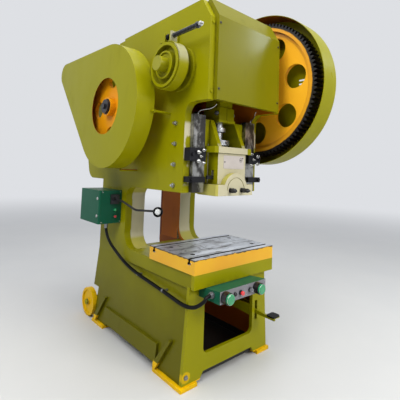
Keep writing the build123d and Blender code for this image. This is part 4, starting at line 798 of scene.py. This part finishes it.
def make_hose():
    """The ribbed hose from the cabinet to the control box."""
    pitch = 0.0052
    crest, root = 0.0131, 0.0117
    path = even_points(route(HOSE_ROUTE), pitch / 2)
    radii = [crest if k % 2 else root for k in range(len(path))]
    shape = Shape()
    shape.tube(path, radii, 14)
    hose = shape.piece("ribbed_hose", "rubber", "base", sharp=1.2)
    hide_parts("conduit")


def ring(shape, centre, axis, radius, wire, sides=40):
    """A round wire bent to a closed ring."""
    axis = Vector(axis).normalized()
    across = axis.orthogonal().normalized()
    other = axis.cross(across)
    loops = []
    for k in range(sides):
        a = 2 * math.pi * k / sides
        out = across * math.cos(a) + other * math.sin(a)
        middle = Vector(centre) + out * radius
        loops.append([middle + (out * math.cos(b) + axis * math.sin(b)) * wire
                      for b in (2 * math.pi * j / 8 for j in range(8))])
    shape.rings(loops, closed=True)


def screw_head(shape, at, axis, radius, height):
    """A low round screw head with a turned edge."""
    shape.turned([(radius, 0), (radius, height * 0.5), (radius * 0.8, height * 0.9),
                  (radius * 0.3, height), (radius * 0.3, height * 0.7), (0, height * 0.7)],
                 at, axis, 20)


def bead(shape, start, end, size=0.004):
    """A weld bead along a straight seam, with the ripples of its runs."""
    start = Vector(start)
    end = Vector(end)
    count = max(6, int((end - start).length / 0.004))
    path = [start.lerp(end, k / count) for k in range(count + 1)]
    radii = [size * (0.82 + 0.18 * math.sin(k * 2.1) + 0.10 * math.sin(k * 0.37))
             for k in range(count + 1)]
    shape.tube(path, radii, 6)


def make_welds():
    """Weld beads along the seams of the frame."""
    table_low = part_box("table")[0]
    plate_low, plate_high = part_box("front_plate")
    column_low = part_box("columns")[0]
    bed_low = plate_high.z
    shape = Shape()
    for s in (-1, 1):
        bead(shape, (s * 0.3815, 0.4385, bed_low), (s * 0.3815, 0.4385, 2.60))
        bead(shape, (s * 0.4325, plate_low.y + 0.33, 0.124), (s * 0.4325, 0.44, 0.124), 0.003)
        bead(shape, (s * 0.3425, 0.262, 0.90), (s * 0.3425, 0.262, 1.17), 0.003)
    seam_y, seam_z = plate_low.y - 0.0015, bed_low - 0.001
    bead(shape, (-0.40, seam_y, seam_z), (0.40, seam_y, seam_z))
    shape.piece("weld_beads", "plain", "base", sharp=1.2)
    seam = Shape()
    for s in (-1, 1):
        bead(seam, (s * 0.342, column_low.y, table_low.z + 0.002),
             (s * 0.214, column_low.y, table_low.z + 0.002))
    seam.piece("throat_weld", "pale_weld", "base", sharp=1.2)


# Left, right, lower and upper edge of the slide's bare plate, and the centre of its ring.
INDEX_PLATE = (-0.096, 0.133, 1.474, 1.576)
INDEX_RING = (0.098, 1.545)


def make_slide_pieces():
    """The bare index plate on the slide and the black ends of the clamp studs."""
    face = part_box("slide")[0].y + 0.014
    left, right, low, high = INDEX_PLATE
    corner = 0.006
    outline = [(left + corner, low), (right - corner, low), (right, low + corner),
               (right, high - corner), (right - corner, high), (left + corner, high),
               (left, high - corner), (left, low + corner)]
    plate = Shape()
    plate.slab([(x, face, z) for x, z in outline], (0, -0.0022, 0))
    plate.piece("index_plate", "pale_plate", "ram", bevel=0.0005)
    marks = Shape()
    ring(marks, (INDEX_RING[0], face - 0.0026, INDEX_RING[1]), (0, -1, 0), 0.015, 0.0012)
    for x, z in ((left + 0.012, 1.525), (right - 0.012, 1.560), INDEX_RING):
        screw_head(marks, (x, face - 0.002, z), (0, -1, 0), 0.005, 0.003)
    marks.piece("index_plate_screws", "black_metal", "ram")
    studs_low, studs_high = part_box("clamp_studs")
    grips = Shape()
    middle = (studs_low.z + studs_high.z) / 2
    for x, reach in ((-0.062, 1.0), (0.062, 1.5)):
        grips.turned([(0.0125, 0), (0.0185, 0.003), (0.0185, 0.012), (0.0135, 0.017),
                      (0.0165, 0.022 * reach), (0.0165, 0.030 * reach), (0.009, 0.040 * reach),
                      (0.004, 0.046 * reach), (0, 0.047 * reach)],
                     (x, studs_low.y, middle), (0, -1, 0), 24)
    grips.piece("stud_grips", "black", "ram")


# Set screws of the gib clamps: x, z and size. Those further out stand prouder.
GIB_SCREWS = ((0.334, 1.521, 1.0), (0.334, 1.586, 1.0), (0.272, 1.510, 0.8),
              (0.272, 1.604, 0.8), (0.300, 1.556, 0.7))
PROUD_FROM_X = 0.33
COVER_LOW_EDGE = 1.9475


def make_guide_pieces():
    """Set screws on the gib clamps and the oil pipes above the gibs."""
    clamp_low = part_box("gib_clamps")[0]
    front = clamp_low.y + 0.010
    shape = Shape()
    for s in (-1, 1):
        for x, z, size in GIB_SCREWS:
            out = front - (0.016 if x > PROUD_FROM_X else 0.0)
            shape.turned([(0.016 * size, 0), (0.016 * size, 0.003), (0.0125 * size, 0.0035),
                          (0.0125 * size, 0.011), (0.008 * size, 0.0125), (0.0075 * size, 0.022),
                          (0.005 * size, 0.024), (0, 0.0245)], (s * x, out, z), (0, -1, 0), 6)
    shape.piece("gib_set_screws", "chrome", "base", sharp=0.5)
    pipes = Shape()
    gib_low, gib_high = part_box("gibs")
    for s in (-1, 1):
        line = route([(s * 0.300, gib_low.y + 0.012, gib_high.z - 0.004),
                      (s * 0.300, gib_low.y + 0.010, gib_high.z + 0.024),
                      (s * 0.286, gib_low.y - 0.040, gib_high.z + 0.034),
                      (s * 0.235, gib_low.y - 0.085, gib_high.z + 0.044),
                      (s * 0.225, gib_low.y - 0.110, COVER_LOW_EDGE)])
        pipes.tube(line, 0.0034, 8)
        pipes.turned([(0.008, -0.003), (0.008, 0.008), (0.006, 0.010), (0.0035, 0.011)],
                     line[0], (0, 0, 1), 6)
    pipes.piece("oil_pipes", "chrome", "base")


def make_brake_pieces():
    """The black sleeve round the brake bolt, from the strap to the rear lug, and its nut."""
    bolt_low, bolt_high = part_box("brake_bolt")
    middle = (bolt_low + bolt_high) / 2
    strap_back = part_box("brake_spring")[1].y + 0.03
    length = LUG_FRONT - strap_back
    sleeve = Shape()
    sleeve.turned([(0.0155, 0.0), (0.0155, 0.26 * length), (0.0235, 0.34 * length),
                   (0.0245, 0.40 * length), (0.0235, 0.46 * length), (0.0245, 0.52 * length),
                   (0.0235, 0.58 * length), (0.0245, 0.64 * length), (0.0235, 0.70 * length),
                   (0.0245, 0.76 * length), (0.0245, 0.97 * length), (0.020, length),
                   (0.0155, length)],
                  (middle.x, strap_back, middle.z), (0, 1, 0), 32)
    sleeve.piece("brake_bolt_sleeve", "rubber", "base")
    nut = Shape()
    nut.turned([(0.0185, 0.0), (0.0185, 0.013), (0.0165, 0.015), (0.0085, 0.0151), (0.0085, 0.030),
                (0.007, 0.032), (0.0, 0.032)],
               (middle.x, bolt_low.y + 0.001, middle.z), (0, -1, 0), 6)
    nut.piece("brake_bolt_nut", "chrome", "base", sharp=0.5)


def make_control_pieces():
    """Rings round the palm buttons, panel screws, the cabinet's lock and screws."""
    for name, body in (("palm_button_left", "palm_left"), ("palm_button_right", "palm_right")):
        low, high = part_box(name)
        middle = (low + high) / 2
        shape = Shape()
        ring(shape, (middle.x, low.y + 0.0060, middle.z), (0, -1, 0),
             (high.z - low.z) / 2 - 0.0010, 0.0014, 48)
        shape.piece(name + "_ring", "chrome", body)
    box_low, box_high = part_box("control_box")
    screws = Shape()
    for x in (box_low.x + 0.010, (box_low.x + box_high.x) / 2 + 0.03, box_high.x - 0.010):
        for z in (box_low.z + 0.009, box_low.z + 0.075):
            screw_head(screws, (x, PANEL_Y, z), (0, -1, 0), 0.0042, 0.0024)
    cab_low, cab_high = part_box("cabinet")
    for x in (-0.590, -0.418):
        for z in (cab_low.z + 0.014, cab_high.z - 0.014):
            screw_head(screws, (x, CABINET_Y, z), (0, -1, 0), 0.0048, 0.003)
    screws.piece("panel_screws", "chrome", "base")
    door_low, door_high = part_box("cabinet_door")
    lock = Shape()
    for z in (door_low.z + 0.07, door_high.z - 0.07):
        lock.turned([(0.013, -0.001), (0.013, 0.004), (0.010, 0.006), (0.010, 0.0075),
                     (0.004, 0.0075), (0.004, 0.005), (0, 0.005)],
                    (door_low.x, door_low.y + 0.032, z), (-1, 0, 0), 28)
    lock.piece("cabinet_locks", "chrome", "door")


def make_cover_screws():
    """Two screws near the right edge of the front cover and two near its left edge."""
    low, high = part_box("front_cover")
    screws = Shape()
    for x in (low.x + 0.016, high.x - 0.016):
        for z in (low.z + 0.075, low.z + 0.545):
            screw_head(screws, (x, low.y, z), (0, -1, 0), 0.0085, 0.0055)
    screws.piece("cover_screws", "black", "base")


LAMP_AT = (-0.3250, -0.0900, 1.1080)
LAMP_LOOKS = (-0.30, -0.93, -0.06)


def make_lamp_head():
    """The work lamp: a black bell with its bulb, turned to the front of the press."""
    start = Vector(LAMP_AT)
    axis = Vector(LAMP_LOOKS).normalized()
    bell = Shape()
    bell.turned([(0.014, -0.006), (0.017, 0.0), (0.019, 0.026), (0.030, 0.034), (0.036, 0.040),
                 (0.0395, 0.062), (0.0415, 0.064), (0.0415, 0.068), (0.0395, 0.068),
                 (0.0375, 0.064), (0.034, 0.043), (0.020, 0.036), (0.0, 0.036)], start, axis, 48)
    head = bell.piece("lamp_bell", "black", BODY_OF["lamp_shade"])
    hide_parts("lamp_shade")
    glass = Shape()
    glass.turned([(0.012, 0.036), (0.014, 0.040), (0.022, 0.048), (0.0255, 0.056), (0.0245, 0.064),
                  (0.018, 0.0705), (0.008, 0.0735), (0.0, 0.074)], start, axis, 40)
    bulb = glass.piece("lamp_glass", "bulb", BODY_OF["lamp_bulb"], sharp=1.2)
    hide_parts("lamp_bulb")


def make_drive_pieces():
    """Fan guard of the motor and caps on the wheel hubs."""
    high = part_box("motor")[1]
    fan = Shape()
    for radius in (0.040, 0.056, 0.072, 0.088):
        ring(fan, (high.x + 0.001, MOTOR_AT[0], MOTOR_AT[1]), (1, 0, 0), radius, 0.0022)
    for k in range(6):
        a = math.pi * k / 3 + 0.4
        out = Vector((0, math.cos(a), math.sin(a)))
        centre = Vector((high.x + 0.001, *MOTOR_AT))
        fan.tube([centre + out * 0.018, centre + out * 0.092], 0.0024, 8)
    fan.turned([(0.020, -0.001), (0.020, 0.003), (0.014, 0.004), (0, 0.004)],
               (high.x, *MOTOR_AT), (1, 0, 0), 24)
    fan.piece("motor_fan_guard", "cast", "base")
    for side, body in ((-1, "roller_left"), (1, "roller_right")):
        low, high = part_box("wheel_left" if side < 0 else "wheel_right")
        middle = (low + high) / 2
        cap = Shape()
        cap.turned([(0.026, -0.001), (0.026, 0.004), (0.020, 0.007), (0.012, 0.008), (0, 0.008)],
                   (low.x if side < 0 else high.x, middle.y, middle.z), (side, 0, 0), 28)
        cap.piece(body + "_cap", "dark_steel", body)


def make_pedal_ribs():
    """Grip bars across the pedal pad."""
    low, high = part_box("pedal_pad")
    shape = Shape()
    count = 5
    for k in range(count):
        y = low.y + (high.y - low.y) * (k + 0.7) / (count + 0.4)
        top = high.z - 0.001
        shape.tube([(low.x + 0.006, y, top), (high.x - 0.006, y, top)], 0.0024, 8)
    shape.piece("pedal_grip", "rubber", "pedal")


def make_base_pieces():
    """The black tray inside the base, which stands in for the shade there as painted shade, and the
    bolt at the front plate's corner.

    The tray is in the visual model alone: the solids have no floor in the base."""
    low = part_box("front_plate")[0]
    tray = Shape()
    y0 = low.y + 0.032
    y1 = 0.240
    half = 0.405
    # The rim stands tall enough to hide the lit floor under the skirts: painted shade.
    rim = 0.085
    wall = 0.006
    floor = FOOT_TOP + 0.0005
    outline = [(-half, y0), (half, y0), (half, y1), (-half, y1)]
    inner = [(-half + wall, y0 + wall), (half - wall, y0 + wall),
             (half - wall, y1 - wall), (-half + wall, y1 - wall)]
    tray.rings([[Vector((x, y, z)) for x, y in corners] for corners, z in (
        (outline, floor), (outline, rim), (inner, rim), (inner, floor + 0.003))])
    tray.piece("base_shade_tray", "tray", "base", bevel=0.001)
    bolt = Shape()
    at = (-CORNER_BOLT[0], low.y, CORNER_BOLT[1])
    bolt.turned([(0.017, 0), (0.017, 0.003), (0.0125, 0.0035), (0.0125, 0.011), (0.010, 0.013),
                 (0, 0.013)], at, (0, -1, 0), 6)
    bolt.piece("corner_bolt", "steel", "base", sharp=0.5)


def make_table_pieces():
    """The thin lid over the hole in the table, with a collar that keeps it in place.

    It is in the visual model alone. The photograph shows the table plain, but the CAD, the
    collision and the record keep the hole open, as mount table_hole."""
    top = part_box("table")[1].z
    lid = Shape()
    lid.turned([(0.1000, -0.020), (0.1040, -0.020), (0.1040, 0.0), (0.1150, 0.0001),
                (0.1150, 0.0010), (0.1142, 0.0016), (0.0, 0.0016)],
               (0.0, TABLE_MIDDLE_Y, top), (0, 0, 1), 96)
    lid.piece("table_hole_lid", "table", "base")


# Camera at the photograph's viewing angle, fitted to points of the press.
IMAGE_SIDE = 400.0
SENSOR = 36.0
CAMERA_AT = (-1.950, -2.4494, 1.4724)
CAMERA_YAW = 0.7243
CAMERA_PITCH = 0.0764
CAMERA_ROLL = 0.0357
FOCAL_PX = 339.2
CENTRE_PX_Y = 142.0


def make_camera():
    """The photograph's camera."""
    data = bpy.data.cameras.new("camera")
    data.sensor_width = SENSOR
    data.lens = FOCAL_PX / IMAGE_SIDE * SENSOR
    data.shift_y = -(IMAGE_SIDE / 2 - CENTRE_PX_Y) / IMAGE_SIDE
    data.clip_end = 200
    camera = bpy.data.objects.new("camera", data)
    turn = (Matrix.Rotation(-CAMERA_YAW, 4, "Z")
            @ Matrix.Rotation(math.pi / 2 + CAMERA_PITCH, 4, "X")
            @ Matrix.Rotation(CAMERA_ROLL, 4, "Z"))
    camera.matrix_world = Matrix.Translation(CAMERA_AT) @ turn
    bpy.context.scene.collection.objects.link(camera)
    bpy.context.scene.camera = camera


LIGHTS_LOOK_AT = (0, 0, 1.3)
# Name, place, side in metres, watts and colour.
LIGHTS = (
    ("key", (1.0, -6.0, 4.2), 2.4, 225, (1.0, 0.98, 0.94)),
    ("ceiling", (-0.8, -0.6, 6.6), 5.0, 260, (1, 1, 1)),
    ("left_fill", (-4.2, -1.6, 4.6), 2.4, 150, (0.98, 0.99, 1.0)),
    ("window", (2.9, -2.75, 4.0), 0.8, 26, (0.78, 0.90, 1.0)),
)


def make_light(name, at, size, watts, colour):
    """A square soft light that looks at LIGHTS_LOOK_AT."""
    data = bpy.data.lights.new(name, "AREA")
    data.size = size
    data.energy = watts
    data.color = colour
    lamp = bpy.data.objects.new(name, data)
    lamp.location = at
    lamp.rotation_euler = (Vector(LIGHTS_LOOK_AT) - Vector(at)).to_track_quat("-Z", "Y").to_euler()
    bpy.context.scene.collection.objects.link(lamp)


def seen_directly(tree):
    """1 for the camera and for what gloss and glass show."""
    rays = tree.nodes.new("ShaderNodeLightPath")
    share = rays.outputs["Is Camera Ray"]
    for ray in ("Is Glossy Ray", "Is Transmission Ray"):
        either = tree.nodes.new("ShaderNodeMath")
        either.operation = "MAXIMUM"
        tree.links.new(share, either.inputs[0])
        tree.links.new(rays.outputs[ray], either.inputs[1])
        share = either.outputs[0]
    return share


def make_world():
    """Soft light from above, dim at the horizon, and a pale background for the camera and gloss."""
    world = bpy.data.worlds.new("world")
    bpy.context.scene.world = world
    world.use_nodes = True
    tree = world.node_tree
    ground = tree.nodes["Background"]
    ground.inputs[0].default_value = (0.82, 0.88, 1.0, 1)
    coords = tree.nodes.new("ShaderNodeTexCoord")
    split = tree.nodes.new("ShaderNodeSeparateXYZ")
    height = tree.nodes.new("ShaderNodeMapRange")
    for key, value in (("From Min", 0.0), ("From Max", 0.8), ("To Min", 0.11), ("To Max", 0.72)):
        height.inputs[key].default_value = value
    tree.links.new(coords.outputs["Generated"], split.inputs[0])
    tree.links.new(split.outputs["Z"], height.inputs["Value"])
    tree.links.new(height.outputs[0], ground.inputs[1])
    seen = tree.nodes.new("ShaderNodeBackground")
    seen.inputs[0].default_value = BACKDROP
    switch = tree.nodes.new("ShaderNodeMixShader")
    tree.links.new(seen_directly(tree), switch.inputs[0])
    tree.links.new(ground.outputs[0], switch.inputs[1])
    tree.links.new(seen.outputs[0], switch.inputs[2])
    tree.links.new(switch.outputs[0], tree.nodes["World Output"].inputs[0])


def make_floor():
    """A plain pale floor that runs out into the background."""
    bm = bmesh.new()
    bmesh.ops.create_circle(bm, cap_ends=True, radius=60, segments=96)
    mesh = bpy.data.meshes.new("floor")
    bm.to_mesh(mesh)
    bm.free()
    floor = bpy.data.objects.new("floor", mesh)
    bpy.context.scene.collection.objects.link(floor)
    f = Finish("floor_finish")
    f.set("Base Color", f.mix(f.noise(1.3, 6.0), srgb(196, 195, 192), FLOOR))
    f.set("Roughness", 0.55)
    f.bump(f.noise(40.0, 4.0), 0.08, 0.001)
    far = f.vector("LENGTH", f.place).outputs["Value"]
    glow = f.node("ShaderNodeEmission", inputs={"Color": BACKDROP, "Strength": 1.0})
    share = f.times(f.band(far, *FLOOR_FADE), seen_directly(f.tree))
    switch = f.node("ShaderNodeMixShader", inputs={0: share, 2: glow.outputs[0]})
    f.tree.links.new(f.shader.outputs[0], switch.inputs[1])
    f.tree.links.new(switch.outputs[0], f.tree.nodes["Material Output"].inputs[0])
    mesh.materials.append(f.material)


bpy.context.scene.view_settings.view_transform = "Standard"
make_camera()
make_hose()
make_spring()
make_welds()
make_slide_pieces()
make_guide_pieces()
make_brake_pieces()
make_control_pieces()
make_cover_screws()
make_lamp_head()
make_drive_pieces()
make_pedal_ribs()
make_base_pieces()
make_table_pieces()
make_world()
make_floor()
for light in LIGHTS:
    make_light(*light)
